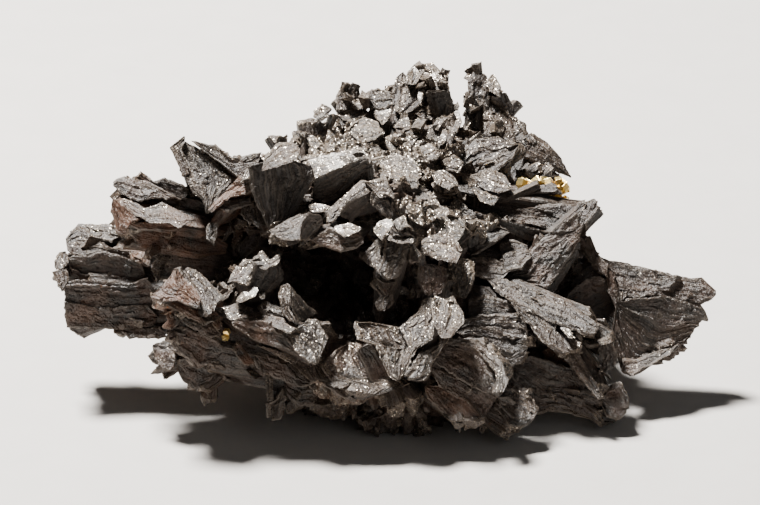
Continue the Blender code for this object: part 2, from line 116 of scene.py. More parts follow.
# The loose chips, in millimetres, and their widths and depths as shares of their lengths.
CHIP_SEED = 11
CHIP_LENGTHS = (0.6, 1.7)
CHIP_WIDTHS = (0.5, 0.9)
CHIP_DEPTHS = (0.2, 0.5)
CHIP_SPLAY = 0.7
CHIP_UNEVENNESS = 0.08
CHIP_OVERHANG = 0.35  # how far down a face's normal may point where chips still lie on it
CHIP_TAPER = (0.7, 1.3)  # a chip's width at its foot and at its end, as shares of its own

Blade = namedtuple("Blade", "name root tip widths depths roll slant bulge columns")
Slab = namedtuple("Slab", "name turn lean depth pale stain nearer outline")
Lump = namedtuple("Lump", "name centre radii")
Crust = namedtuple("Crust", "name start end spread aim count length width")
Grain = namedtuple("Grain", "name centre spread size count")
Habit = namedtuple("Habit", "pale stain lean shards", defaults=(None, 1.0))

# Each crystal grows from its narrow root to its wide tip, in millimetres: widths and depths are
# (root, tip), roll turns the broad face about the length, slant is how far the tip's right corner
# stands past its left one, and bulge is how far the tip's middle stands past both.
CRYSTALS = {
    "front": [
        Blade("front_wedge", (1.4, 3.1, -12.8), (1.4, 6.1, -8.4), (1.2, 7.4), (1.5, 5.5), 0, 1.6, -0.8, 5),
        Blade("front_wedge_right", (2.7, 2.7, -12.7), (6.2, 5.1, -6.4),
              (0.8, 3.6), (1.5, 5), 20, 0.8, 0, 3),
        Blade("front_keel", (-3.2, 6.6, -8), (-2.6, 3.4, -13.2), (4.8, 8.4), (2, 2.4), 0, 0.4, 1.6, 4),
        Blade("front_keel_right", (1, 5.5, -11.6), (2.8, 3.9, -15.4), (2, 4), (1.6, 1.8), -15, 0, 0.6, 3),
        Blade("front_ledge", (-17, 5.3, -5.8), (-5.8, 2.9, -9.2), (1.8, 4.8), (1.6, 2.4), -28, -1, 0.4, 5),
        Blade("front_spur", (-15.6, 4.8, -6.6), (-20.8, 3, -3.2), (2.4, 3.6), (2.4, 3), 42, 0, 0.4, 3),
        Blade("front_spur_low", (-16.6, 4, -6.2), (-22.6, 3.2, -4.6), (1.8, 1.4), (1.2, 1.4), 30, 0, 0, 2),
        Blade("cavity_fan", (-12.4, 5.4, -6.2), (-12.5, 5.6, -0.8), (2.4, 5), (2, 3), 12, 0.4, -0.4, 4),
    ],
    "cavity": [
        Blade("roof_right", (-1.2, 7.7, 2.4), (-7.4, 4.5, 1), (3, 2.4), (2, 1.8), 55, 0.5, 0.4, 3),
        Blade("roof_left", (-5, 8.9, 3.4), (-11, 5.5, 1.9), (2.4, 2.8), (1.8, 2), 50, 0, 0.4, 3),
        Blade("arch_left", (-6, 7.6, 1.8), (-0.8, 8.4, 6.6), (2.2, 3), (1.4, 2), -35, 0, 0, 3),
        Blade("arch_right", (2.2, 7.4, 1.6), (-0.8, 8.6, 6.8), (1.8, 2), (1.6, 2.2), 25, 0, 0, 3),
        Blade("gate_post", (0, 6.7, -7.4), (1.2, 6.3, -0.2), (1.2, 3.2), (1.4, 2.2), -25, 0.6, 0.4, 4),
        Blade("gate_back", (5.2, 10.4, -7.6), (5.8, 9.2, -0.2), (3, 5.2), (2.6, 4.2), 10, -0.6, 0.3, 4),
        Blade("gate_side", (7.6, 11.4, -7), (8.6, 10.6, -0.4), (1.8, 2.2), (1.4, 1.8), 15, 0, 0, 2),
    ],
    "druse": [
        Blade("plate_high", (1.6, 23.5, 7.7), (1.8, 22.3, 11.7), (1.6, 2.8), (1.6, 2.4), 10, 0.3, 0, 2),
        Blade("plate_broad", (1.2, 18.9, 5.3), (1.2, 15.7, 9.5), (3, 5.8), (2, 3.4), -6, 0.6, 0.2, 4),
        Blade("plate_side", (4, 18.5, 4.9), (4.6, 16.5, 8.1), (1.6, 3), (1.4, 2.4), 15, -0.5, 0, 2),
        Blade("plate_left", (-1, 23.3, 8.5), (-1.2, 21.3, 12.7), (1.4, 2.9), (1.4, 2.4), 12, 0, 0.1, 2),
        Blade("plate_ridge", (-3.4, 22.9, 8.7), (-3.6, 20.9, 12.6), (2, 3.6), (1.6, 2.6), -8, 0.4, 0.1, 3),
        Blade("brow_plate_left", (-7.2, 17.5, 6.3), (-7.2, 15.3, 10.9),
              (2.2, 3.6), (1.6, 2.6), 10, 0.8, 0, 3),
        Blade("brow_plate", (-4.4, 18.5, 6.7), (-4.5, 16.3, 11.6), (2.4, 4.4), (2, 3), -12, -0.4, 0.2, 3),
        Blade("brow_plate_low", (-6, 17.3, 5.1), (-6, 14.5, 9.1), (2, 3.8), (1.8, 2.6), 6, 0.2, 0, 3),
        Blade("brow_plate_right", (-2, 18.9, 6.3), (-1.8, 16.7, 10.3),
              (1.8, 3.4), (1.6, 2.4), 14, -0.6, 0, 2),
        Blade("saddle_block", (6.6, 22.9, 6.7), (6.4, 20.9, 11.6), (1.8, 3), (1.6, 2.4), -14, 0.3, 0, 2),
        Blade("saddle_block_low", (4.4, 21.5, 5.7), (4.4, 19.7, 10.3), (1.6, 2.6), (1.4, 2.2), 20, 0, 0, 2),
        Blade("saddle_chip", (7.6, 27.5, 9.7), (7.5, 26.3, 13.6), (0.9, 1.5), (0.9, 1.3), 10, 0, 0, 1),
        Blade("bed_lump", (9.6, 19.1, 3.3), (10.1, 16.9, 6.6), (1.4, 2.5), (1.4, 2), 5, 0, 0.2, 2),
        Blade("bed_lump_left", (7.6, 19.1, 2.9), (7.4, 16.9, 6.1), (1.4, 2.7), (1.4, 2), -16, 0.3, 0, 2),
        Blade("mid_lump", (5, 18.3, 2.7), (5.2, 15.5, 6.1), (1.2, 2.6), (1.2, 2), 12, 0, 0, 2),
        Blade("mid_block", (6.8, 14.9, -0.3), (7.2, 12.3, 4), (2.2, 3.6), (1.8, 3), -18, 0.8, 0, 3),
        Blade("mid_block_right", (9, 13.9, -0.7), (9.6, 11.5, 2.9), (1.4, 2.4), (1.4, 2), 16, 0, 0, 2),
        Blade("mid_block_low", (5.6, 11.3, -2.9), (6, 8.3, 1), (2, 3.6), (1.6, 2.6), 8, -0.4, 0.2, 3),
        Blade("gate_chip", (1.7, 9.1, 2.1), (2, 6.5, 5.3), (0.8, 1.7), (0.9, 1.4), -10, 0.4, 0, 2),
        Blade("gate_lump", (3.8, 11.3, 1.3), (4, 8.9, 4.5), (1.4, 2.6), (1.4, 2.2), 18, 0, 0, 2),
    ],
    "upper_left": [
        Blade("slab_dark", (-2.6, 12.7, 3.4), (-4.2, 9.3, 8.4), (4.6, 6.8), (2.4, 3.2), 0, 1.6, 0, 4),
        Blade("crown_fan", (-11, 11.2, 1.4), (-10.4, 9.4, 9), (3, 5.2), (2.4, 4.4), 8, 1.6, 0.2, 5),
        Blade("crown_strip", (-17, 10.3, 2.6), (-12.2, 8.9, 7.4), (1.4, 2.2), (1.6, 2), -25, 0, 0, 2),
        Blade("crown_tall", (-16.8, 11.5, 1.4), (-17.4, 12.1, 10.2), (1, 6.6), (1, 2.4), -8, -1.6, 0.3, 5),
        Blade("crown_back", (-13.8, 13.4, 2.6), (-13.8, 13.8, 9.2), (3, 5.4), (1.6, 2.4), 0, 0.4, 0.2, 3),
        Blade("left_upper", (-15.6, 13, 4.2), (-26.2, 10.2, 6.2), (3, 2.2), (2.4, 2.4), 55, 0, 0.2, 4),
        Blade("left_lower", (-15, 11.4, 2.2), (-26.6, 8.2, 4.4), (3, 3.2), (1.8, 2), 45, 0, 0.2, 4),
        Blade("left_under", (-15.4, 12.1, 0.4), (-26.2, 9.3, 2.6), (3.4, 4), (1.8, 2), 5, 0, 0, 4),
        Blade("left_hidden", (-15, 13, -0.6), (-22.4, 11, -0.6), (4.4, 4.6), (2, 2.4), 10, 0, 0, 3),
    ],
    "far_left": [
        Blade("far_left_block", (-16, 16, -4.6), (-31.6, 15.6, -3.6),
              (5.6, 7.8), (5, 6.4), 8, -0.8, 0.2, 4),
        Blade("far_left_top", (-17, 16.6, -1.4), (-30.8, 15.8, 0.6), (3.2, 4.2), (3, 4), 35, 0, 0.2, 4),
        Blade("far_left_tip", (-22, 14.6, -2.8), (-32.5, 14, -2), (2.6, 3.6), (2, 2.4), 10, 0, 0, 3),
        Blade("far_left_low", (-13, 14.6, -6.6), (-24, 14.4, -6.2), (3.4, 3.6), (3, 3.4), 0, 0, 0, 3),
    ],
    "lower_left": [
        Blade("layer_high", (-8, 5.6, -10.6), (-21, 4.2, -6.8), (2.4, 3.2), (1.6, 1.8), 20, 0, 0.2, 4),
        Blade("layer_middle", (-7, 5.6, -12.2), (-19.8, 5, -9.2), (2.4, 2.8), (1.6, 1.8), 0, 0, 0.2, 4),
        Blade("layer_low", (-6, 6.6, -13.4), (-17, 5.8, -11), (2.4, 2.4), (2, 2), -10, 0, 0, 3),
        Blade("foot_left", (-13, 9, -9.2), (-22.4, 7, -10.6), (3, 3), (2.4, 3), 20, 0, 0.2, 3),
        Blade("foot_left_low", (-14.2, 8.4, -9.6), (-18.4, 6.4, -13.2), (3.4, 3), (2.2, 2.4), 10, 0, 0, 3),
        Blade("prism_short", (-9.4, 6.8, -11.4), (-10.6, 5, -16.3), (1.2, 1.5), (1, 1.2), 20, 0, 0, 2),
        Blade("prism_shorter", (-7.6, 7, -11.8), (-8.2, 6, -15.7), (1.6, 1.6), (1, 1.2), 0, 0, 0, 2),
        Blade("under_lip", (-4, 9, -12.4), (-4.6, 7, -16), (4, 4.6), (2, 2.2), 0, 0.4, 0, 3),
        Blade("under_lip_right", (2, 9, -14.2), (1.8, 7, -17.6), (4, 6), (2, 2.2), 10, 0.6, 0, 3),
    ],
    "lower_right": [
        Blade("petal_high", (4.4, 6.6, -9.2), (11.2, 3.8, -12.4), (2.2, 6.2), (1.6, 2.2), -22, 0.4, 1.2, 5),
        Blade("petal_low", (4, 6, -12.6), (9.4, 3.2, -16), (2.4, 4.4), (1.4, 1.8), -12, 0, 0.8, 4),
        Blade("petal_foot", (8, 8, -14.2), (14, 5.2, -16.8), (2.8, 5), (1.6, 2), -15, 0, 0.8, 4),
        Blade("tail_low", (10, 12, -11.4), (23.4, 9.6, -15), (3.4, 4.4), (2.2, 2.8), -8, 0.8, 0.4, 4),
        Blade("tail_splinter", (18, 11, -7.6), (22.3, 8.8, -13.8), (2, 2.6), (1.6, 1.8), 15, 0, 0, 3),
        Blade("tail_chip", (18.6, 12, -6.8), (23.6, 10.6, -9.6), (2.4, 3), (1.2, 1.4), -20, 0, 0, 3),
        Blade("tail_dark", (9, 12.4, -8.6), (19.6, 11.4, -10.6), (4, 4.6), (2, 2.4), 0, 0, 0, 3),
        Blade("mid_fan", (10.4, 12.4, -2.6), (20.2, 9.2, -8.4), (2.4, 5.6), (1.6, 2.4), -30, 0.8, 0.8, 5),
        Blade("mid_fan_low", (7.4, 9.4, -8), (14.4, 8, -8.6), (2, 5.2), (1.4, 2), -12, 0, 0.6, 5),
        Blade("mid_fan_left", (9, 11.4, -3.4), (12.6, 9.2, -7.6), (2.6, 4.6), (1.6, 1.8), -20, 0, 0.2, 3),
    ],
    "far_right": [
        Blade("right_fan", (20, 17.6, -2.8), (28.8, 15, -7.6), (2.6, 10), (1.6, 2.4), -18, 1, 2.2, 6),
        Blade("right_ridge", (19, 18.4, -1.4), (32.6, 16.8, -5.4), (2, 2.4), (1.6, 2.2), -45, 0, 0.2, 4),
        Blade("right_thorn", (23.6, 16.2, -5.4), (20.4, 16.8, 2), (0.9, 1.2), (0.8, 1), 0, 0, 0, 1),
        Blade("right_dark", (16, 17.4, -5.6), (22.8, 16, -2.6), (3.4, 5), (1.6, 2), -10, 0, 0.4, 4),
        Blade("right_rod", (12.4, 13.6, -4.2), (21.4, 17.4, 4.6), (3.4, 2.6), (2.2, 2.2), 25, 0, 0.4, 3),
        Blade("long_blade", (6, 17.6, 6.4), (21, 19.6, 4.2), (2.4, 2.2), (2.4, 2.4), -45, 0, 0, 4),
        Blade("long_blade_low", (7, 18, 3.4), (18.4, 19.6, 1.8), (2.6, 2.6), (1.6, 1.8), -5, 0, 0, 3),
        Blade("inner_fan", (8.8, 15.8, -2), (14.4, 15.8, 1.8), (2.4, 4.8), (1.6, 2.2), -15, 0, 0.4, 4),
        Blade("pyrite_bed", (9, 22.4, 4.6), (18.2, 22.6, 4.8), (4, 4.4), (3.4, 3.6), 0, 0, 0, 2),
        Blade("inner_fan_low", (7, 13.6, 0), (15.2, 13.8, -1.2), (2.2, 3.2), (1.4, 1.8), -40, 0, 0.2, 3),
    ],
    "peak": [
        Blade("peak_left", (4.6, 27.4, 9.2), (4.7, 30.4, 18.1), (3.4, 4.2), (2.6, 3.4), 10, 0, 0.4, 4),
        Blade("peak_left_side", (2.8, 26.4, 9.4), (2, 29.4, 16.6), (2.6, 3.2), (1.8, 2), -15, 0.6, 0, 3),
        Blade("peak_left_front", (6, 25.8, 8.8), (6.8, 27.4, 15.4), (2.2, 2.6), (1.6, 1.8), 20, 0, 0, 3),
        Blade("peak_saddle", (8.2, 25.6, 6), (8.5, 27, 12.4), (3.6, 4.2), (1.8, 2), 5, -0.6, 0, 2),
        Blade("peak_right", (11.2, 28.4, 7.4), (10.4, 31.2, 17.6),
              (3.4, 2.6), (2.2, 2.4), -20, -0.6, 0.2, 3),
        Blade("peak_right_side", (12.4, 28.4, 7.4), (12.8, 31, 15.8), (3.2, 3.4), (2, 2.2), 25, -2, 0, 3),
        Blade("peak_right_low", (12.6, 27.4, 5), (16, 29.4, 11), (3.2, 3.8), (2, 2.2), 20, -0.8, 0, 3),
        Blade("peak_right_foot", (12.8, 26.2, 3.6), (18.2, 27.4, 8), (3, 3), (2, 2.2), 20, -0.6, 0, 3),
        Blade("peak_brace", (7.6, 24, 6.6), (14.2, 25.2, 11.2), (2.6, 3), (1.6, 2), -35, 0, 0, 3),
        Blade("ridge_thumb", (-2.8, 24.6, 10), (-3.4, 25.8, 16.8), (2.2, 2.2), (1.6, 1.6), 10, 0, 0.2, 2),
        Blade("ridge_step", (-0.6, 24.6, 10), (-0.6, 25.6, 15.4), (3, 3.6), (1.8, 1.8), -10, 0.4, 0, 3),
        Blade("ridge_left", (-6, 18.4, 7.6), (-6.6, 19.4, 13.6), (3, 3.4), (2, 2.4), 10, 0.6, 0, 3),
        Blade("ridge_end", (-8.6, 15.2, 6.4), (-9.2, 16.2, 11.6), (2.8, 3.4), (2, 2.2), 0, 0.8, 0, 3),
    ],
    "rear": [
        Blade("rear_left", (-12, 20, 2), (-20, 25, 4), (2.6, 6.4), (2.2, 3), 30, 0, 0.8, 3),
        Blade("rear_left_low", (-12, 20, -3), (-20, 25, -3), (2.6, 5.6), (2, 2.8), 15, 0, 0.8, 3),
        Blade("rear_middle", (-4, 25, 4), (-8, 32, 7), (3, 6.6), (2.2, 3), 20, 0, 0.8, 3),
        Blade("rear_middle_low", (-3, 24, -1), (-7, 32, -1), (3, 6.4), (2.2, 3), -15, 0, 0.8, 3),
        Blade("rear_right", (6, 29, 4), (7, 35, 9), (3, 6), (2.2, 2.8), -20, 0, 0.6, 3),
        Blade("rear_right_low", (6, 26, 0), (8, 34, 1), (3, 6.6), (2.2, 3), 10, 0, 0.8, 3),
        Blade("rear_far_right", (13, 22, 0), (21, 27, 1), (2.8, 6.6), (2, 3), 20, 0, 0.8, 3),
        Blade("rear_far_right_low", (13, 19, -4), (22, 23, -6), (2.8, 6), (2, 2.8), -10, 0, 0.8, 3),
        Blade("rear_foot", (2, 22, -7), (1, 30, -7), (3.4, 6.6), (2.4, 2.6), 0, 0, 0.6, 3),
    ],
}

# The broken plates of the display face. Turn is how far the growth runs clockwise from straight up,
# in degrees. Lean is how far the face falls back for each millimetre to the right and for each
# upward. Depth is the plate's thickness, and nearer is how far its face stands out from the solid
# behind it, both in millimetres. Pale and stain are shares, and a pale above 1.1 is mixed towards
# near white: a painted highlight where the face flashes in the light. The outline is (right, up)
# points in millimetres, as the camera sees the face on the plane through its target.
SLABS = {
    "front": [
        Slab("wedge_left", 0, (0.35, 0.6), 1.8, 0.56, 0.1, 0.2, [(-2.5, -6.8), (2.1, -7.5), (3.1, -9.2),
            (1.9, -12.8), (1, -12.4), (-0.2, -9.3), (-1.9, -8.7)]),
        Slab("wedge_middle", 10, (-0.3, 0.6), 1.8, 0.56, 0.1, 0.3, [(2.2, -7.5), (4, -5.9), (4.4, -4.6),
            (5.2, -4.4), (5.4, -6.5), (4.9, -8.7), (3.6, -9.7), (2, -12.8), (2.2, -10.9), (2.9, -9.3)]),
        Slab("wedge_head", 30, (0.1, 0.85), 2, 0.79, 0.1, 0.4, [(5.4, -6.9), (5.4, -4.8), (6, -4.3),
            (6.7, -4.7), (7.2, -4.3), (8.1, -5.8), (8.1, -6.7), (6.9, -8.5), (6, -8.5)]),
        Slab("wedge_stem", 30, (0.3, 0.45), 1.8, 0.5, 0.1, 0.3, [(2.4, -12.4), (4.2, -10), (5.7, -9.3),
            (6, -8.4), (7, -8.4), (5, -11.3), (4.8, -12.6), (3.4, -12.9)]),
        Slab("keel_dark", 150, (0.5, 0.1), 1.4, 0.07, 0.25, 0.3, [(-2.3, -9.4), (-1.4, -9.1), (0, -9.7),
            (0.9, -10.9), (1.7, -12.9), (0.4, -13.2), (-0.8, -12.7)]),
        Slab("keel_ribbed", 160, (0.2, 0.5), 1.6, 0.53, 0.25, 0.3, [(-5.8, -11.3), (-4.3, -9.7), (-3, -9),
            (-2.2, -9.4), (-0.6, -12.9), (-2.8, -13.1), (-4.6, -12.7)]),
        Slab("keel_foot", 170, (0.1, 0.7), 1.6, 0.63, 0.15, 0.4, [(-4.4, -12.4), (2.2, -12.6), (2.7, -13.2),
            (-1.9, -14.9), (-2.5, -14.7)]),
        Slab("keel_toe", 165, (-0.4, 0.3), 1.4, 0.2, 0.2, 0.2, [(-5.6, -13.1), (-4.2, -12.5), (-3.4, -13.1),
            (-2.2, -15.2), (-4.4, -14.1)]),
        Slab("keel_fleck", 150, (0, 0.8), 0.8, 0.6, 0.9, 0.7, [(-2.5, -9), (-2, -9.1), (-1.3, -11.1),
            (-2.4, -9.8)]),
        Slab("ledge_end", 125, (0.1, 0.35), 2, 0.5, 0.05, 0.3, [(-9, -8.1), (-7.4, -6.8), (-6.4, -7),
            (-5.3, -8.8), (-6.4, -11.3), (-8.4, -9.5)]),
        Slab("ledge_top", 105, (0, 1.2), 1.4, 0.63, 0.2, 0.5, [(-16.7, -5.5), (-15.5, -5.6), (-14.4, -5.2),
            (-9, -6.9), (-8.2, -7.5), (-9, -8), (-11.3, -7), (-16, -6.4)]),
        Slab("ledge_face", 115, (0.1, 0.2), 1.6, 0.13, 0.5, 0.5, [(-14.8, -7.2), (-14.4, -6.5),
            (-10.3, -7.2), (-9.4, -7.9), (-8.1, -9.9), (-12.2, -8.8)]),
        Slab("ledge_under", 120, (0, 0.6), 1.6, 0.53, 0.2, 0.2, [(-12.4, -9.2), (-6.7, -10.9), (-5.9, -12.8),
            (-6.8, -12.9), (-8.6, -11.2)]),
        Slab("ledge_toe", 120, (0.1, 0.8), 1.6, 0.53, 0.1, 0.4, [(-6.6, -11.2), (-5.8, -10.8), (-4.4, -11.1),
            (-2.7, -13.2), (-3.9, -13.5), (-6.1, -12.6)]),
        Slab("ledge_bump", 95, (0, 0.5), 1.4, 0.4, 0.1, 0.5, [(-12.4, -5.5), (-11.5, -5), (-9.8, -5.6),
            (-9.6, -6.5), (-11.8, -6.2)]),
        Slab("spike_left", 0, (-0.4, 0.3), 1.2, 0.23, 0.1, 0.3, [(-10.1, -4.3), (-9.8, -3.3), (-9.3, -3.1),
            (-8.9, -3.5), (-9.1, -5.6), (-8.4, -7.1), (-9.1, -6.9), (-9.7, -6.1)]),
        Slab("spike_right", -35, (0.8, 0.3), 1.2, 0.33, 0.05, 0.3, [(-9, -3.3), (-7.3, -5.4), (-6.2, -6.2),
            (-8.1, -7), (-9, -4.6)]),
        Slab("spike_nub", 0, (0, 0.8), 0.8, 0.53, 0.1, 0.4, [(-10.5, -4.5), (-10.4, -3.6), (-9.9, -3.4),
            (-9.7, -3.8), (-10, -4.7)]),
        Slab("fan_cap", 45, (-0.1, 0.75), 2, 0.56, 0.25, 0.4, [(-15.2, -2.8), (-13.6, -0.8), (-12.2, -0.6),
            (-13.3, -3.3)]),
        Slab("fan_rim", 80, (0, 1.1), 1.4, 0.73, 0.1, 0.5, [(-13, -0.9), (-11.8, 0.1), (-11, -0.8),
            (-9.9, -0.2), (-10, -1.1), (-11.6, -1.6)]),
        Slab("fan_dark", 10, (0.5, -0.1), 1.6, 0.03, 0.1, 0.3, [(-13.2, -3.4), (-12.3, -1.2), (-11.5, -1.6),
            (-10, -1), (-9.9, -2.7), (-11.2, -4)]),
        Slab("fan_chip", 65, (0, 1.3), 1, 1.5, 0, 1, [(-14.4, -4.8), (-14, -4.2), (-12.3, -3.4),
            (-12.1, -3.7), (-12.6, -4.4), (-14, -5)]),
        Slab("fan_chip_small", 60, (0, 1), 0.8, 0.73, 0, 0.8, [(-12.1, -4.1), (-11.3, -3.9), (-11.6, -4.6),
            (-12, -4.6)]),
        Slab("fan_post", 20, (-0.3, 0.5), 0.8, 0.33, 0.1, 0.3, [(-15.9, -4.8), (-14.8, -3), (-14.8, -3.8),
            (-15.3, -4.6)]),
        Slab("spur_brown", -45, (-0.1, 0.45), 1.8, 0.1, 1.1, 0.5, [(-22.8, -4.4), (-21.2, -2.8),
            (-20.7, -1.7), (-20.1, -1.6), (-19.9, -2.7), (-18.5, -3.8), (-18, -4.7), (-18.1, -5.7),
            (-20.2, -4.7), (-21.5, -4.8)]),
        Slab("spur_grey", -45, (0.1, 0.65), 1.8, 0.36, 0.15, 0.5, [(-19.9, -2.1), (-19.3, -1.4),
            (-17.9, -2.3), (-15.7, -4.7), (-17.5, -6.6), (-18.1, -5.6), (-18.2, -4.6)]),
        Slab("spur_layer", 115, (0, 0.5), 1.2, 0.23, 0.5, 0.3, [(-21.9, -4.9), (-20.5, -4.8), (-16.6, -6.8),
            (-17.5, -7.3)]),
        Slab("spur_rust", 160, (0.1, 0.3), 0.8, 0.13, 2.2, 0.4, [(-21.7, -5.4), (-20.1, -6.7), (-20.3, -7.4),
            (-21, -7.8), (-21.7, -7.4), (-21.2, -6.8)]),
        Slab("rust_flake", 130, (0, 0.4), 1, 0.2, 2.4, 0.5, [(-14.9, -9.3), (-14.4, -8.9), (-12.5, -11.1),
            (-13.2, -11.3), (-14, -10.7)]),
        Slab("rust_chip", 120, (0, 0.8), 0.7, 0.6, 0.8, 0.7, [(-13.5, -11.6), (-12.5, -11.9), (-11.6, -12.4),
            (-12.5, -12.6)]),
    ],
    "cavity": [
        Slab("roof_white", 80, (0, 1.4), 1, 1.6, 0, 0.6, [(-4.7, 2.5), (-3, 2.9), (-1.7, 2.3), (-3.6, 1.6)]),
        Slab("roof_brow", 75, (0, 0.35), 1.6, 0.22, 0.4, 0.3, [(-7.1, 1.2), (-5.1, 2.4), (-2.8, 1.8),
            (-1.9, 2.1), (-1.5, 1.2), (-2.4, 0.5), (-4, 0.2)]),
        Slab("roof_lens", 60, (-0.1, 0.75), 1.8, 0.22, 0.15, 0.4, [(-10.9, 2.2), (-8, 3.8), (-7.1, 3.9),
            (-8, 2.2), (-8, 1.4), (-10.1, 1.3)]),
        Slab("roof_dark", 70, (0.5, -0.1), 1.6, 0.04, 0.1, 0.3, [(-7.7, 3), (-7.1, 3.9), (-5.9, 3.7),
            (-5.6, 3.1), (-7.4, 1.3), (-8.1, 1.4)]),
        Slab("roof_splinter", 85, (0, 1.2), 0.8, 1.3, 0.2, 0.6, [(-7.2, 4.6), (-6.5, 4.9), (-4.9, 4.6),
            (-5.1, 4.1), (-7, 4.1)]),
        Slab("arch_left", 45, (-0.1, 0.75), 1.6, 0.58, 0.1, 0.5, [(-5.4, 3), (-5, 4.4), (-1.8, 7.2),
            (-0.6, 7), (-1, 6.2), (-3.5, 4.7), (-4.7, 3)]),
        Slab("arch_inside", 45, (0.3, -0.1), 1.2, 0.11, 0.1, 0.2, [(-4.1, 3.9), (-3.2, 4.9), (-0.9, 6.2),
            (-1.2, 5.1), (-3.1, 2.9), (-3.4, 3.7)]),
        Slab("arch_top", 100, (0.1, 0.7), 1.4, 0.5, 0.1, 0.4, [(-1.6, 7.1), (0.6, 7.4), (1.6, 5.2),
            (0.8, 5.7), (0.1, 5.5)]),
        Slab("arch_right", 145, (0.3, 0.2), 1.2, 0.32, 0.05, 0.3, [(-0.9, 6.1), (0.8, 5), (1.3, 4), (1, 3.2),
            (-0.9, 5)]),
        Slab("gate_tip", 30, (-0.1, 1), 1.2, 1.6, 0, 0.9, [(-0.6, 2.3), (0.2, 3.2), (1.1, 3.4), (1.3, 2.7),
            (0.1, 1.2)]),
        Slab("gate_left", 20, (-0.2, 0.35), 1.4, 0.36, 0.1, 0.6, [(-2, -0.5), (-0.1, 1.4), (0.5, 1.6),
            (-0.1, -0.2), (-0.1, -2.1)]),
        Slab("gate_right", 15, (0.1, 0.35), 1.5, 0.36, 0.1, 0.6, [(-0.2, -2), (0.5, -0.3), (0.7, 1.4),
            (1.6, 1.4), (2.1, 0.8), (2.7, 0.8), (2.5, -0.5), (1.6, -2.5), (0.8, -2.8)]),
        Slab("gate_bar", 95, (0, 1), 1.2, 0.65, 0.1, 0.9, [(0.8, 1.9), (1.4, 1.6), (3.2, 1.7), (3.5, 1.1),
            (2.1, 0.9), (0.8, 1.3)]),
        Slab("gate_roof", 110, (0.2, 0.5), 1, 0.43, 0.1, 0.8, [(0.8, 2.3), (1.3, 2.8), (3.4, 1.6),
            (1.3, 1.7)]),
        Slab("gate_low", 175, (0.1, 0.3), 1.3, 0.32, 0.15, 0.5, [(-0.9, -3.2), (-0.5, -2.4), (1.5, -3),
            (1, -3.8), (1.4, -4.8), (0.8, -5.6), (0, -5.9), (-0.4, -5.1), (0.1, -4.3)]),
        Slab("gate_knob", 0, (-0.2, 0.3), 1, 0.11, 0.1, 0.4, [(-2.7, -2.6), (-2.2, -1.7), (-1.4, -1.4),
            (-0.7, -2.1), (-0.9, -3.1), (-2.4, -3.1)]),
        Slab("gate_crust", 20, (0.1, 0.4), 1.2, 0.25, 0.3, 0.4, [(2.5, -0.6), (2.7, 0.7), (3.4, 0.8),
            (4.1, -0.2), (3.8, -0.9), (3, -1)]),
    ],
    "upper_left": [
        Slab("crown_end", 60, (0, 1.2), 2.4, 0.58, 0.2, 0.5, [(-11.9, 8.1), (-11.5, 9.5), (-10.1, 10.9),
            (-9, 11), (-8.2, 10.6), (-8, 10), (-8.4, 9.4)]),
        Slab("crown_end_low", 60, (0, 1), 1.6, 0.55, 0.2, 0.4, [(-13.8, 7.1), (-13.4, 8.3), (-11.8, 8.6),
            (-11.7, 8.1)]),
        Slab("crown_front", 0, (0.15, 0), 2.6, 0.02, 0.05, 0.3, [(-12.8, 8.7), (-9, 9.3), (-7.1, 8.6),
            (-6.9, 7.3), (-9.5, 2.7), (-11, 2.2), (-12.6, 6.3)]),
        Slab("crown_brown", 50, (-0.1, 0.35), 1.6, 0.12, 1, 0.5, [(-17.3, 4.2), (-14, 7.5), (-12.2, 7.7),
            (-12.3, 6.7), (-13, 6.1), (-15.2, 5.4), (-16.8, 4)]),
        Slab("crown_chips", 75, (0, 0.3), 1.2, 0.18, 0.1, 0.3, [(-16.1, 4.4), (-15.6, 5), (-12.9, 5.5),
            (-12.8, 5), (-15.2, 4)]),
        Slab("crown_knee", 0, (0, 0.5), 1.6, 0.21, 0.1, 0.2, [(-13.8, 4), (-13.4, 4.9), (-12.4, 5.3),
            (-11.5, 4.7), (-11.1, 3.7), (-11.7, 2.6), (-12.8, 2.6)]),
        Slab("tall_face", -10, (0.15, 0.5), 1.6, 0.37, 0.05, 0.4, [(-20, 10.7), (-19.5, 11.1), (-16.5, 9.3),
            (-14.3, 7.5), (-16, 5.7), (-17.2, 3.7), (-17.7, 5.4), (-18.3, 5.8), (-19.9, 9.5)]),
        Slab("tall_left", -15, (-0.6, 0.3), 1.4, 0.31, 0.1, 0.4, [(-21, 10.7), (-19.5, 11.6), (-19.8, 10.3),
            (-19.1, 7.9), (-19.6, 7.5)]),
        Slab("tall_back", 80, (0, 0.35), 1.8, 0.28, 0.1, 0, [(-19, 11.2), (-16.5, 10.6), (-14.9, 9.5),
            (-13.9, 9.3), (-11.8, 10.1), (-12.1, 9.2), (-14.2, 7.6)]),
        Slab("left_plate", 100, (0, 0.45), 1.6, 0.24, 0.2, 0.3, [(-26.9, 6.9), (-26, 7.5), (-23, 6.9),
            (-19.9, 5.3), (-23, 5.5), (-24, 5.2), (-26.1, 6.1)]),
        Slab("left_lath", 100, (0.1, 0.1), 1.2, 0.06, 0.1, 0.4, [(-22.8, 7.1), (-21.5, 7.4), (-19, 6.3),
            (-19.6, 5.4), (-22.2, 6.2)]),
        Slab("left_shelf", 105, (0, 1), 1.8, 0.55, 0.3, 0.5, [(-26.8, 5.6), (-25.8, 5.5), (-23.4, 4.3),
            (-21.9, 4.9), (-18.4, 3.3), (-20, 2.6), (-21.1, 3.1), (-23, 3.1), (-25.9, 4.7)]),
        Slab("left_wall", 110, (-0.2, 0.1), 1.6, 0.06, 1.1, 0.3, [(-26.8, 5.5), (-24.1, 3.2), (-25, 2.8),
            (-25.4, 2), (-26.2, 2), (-26.9, 4.4)]),
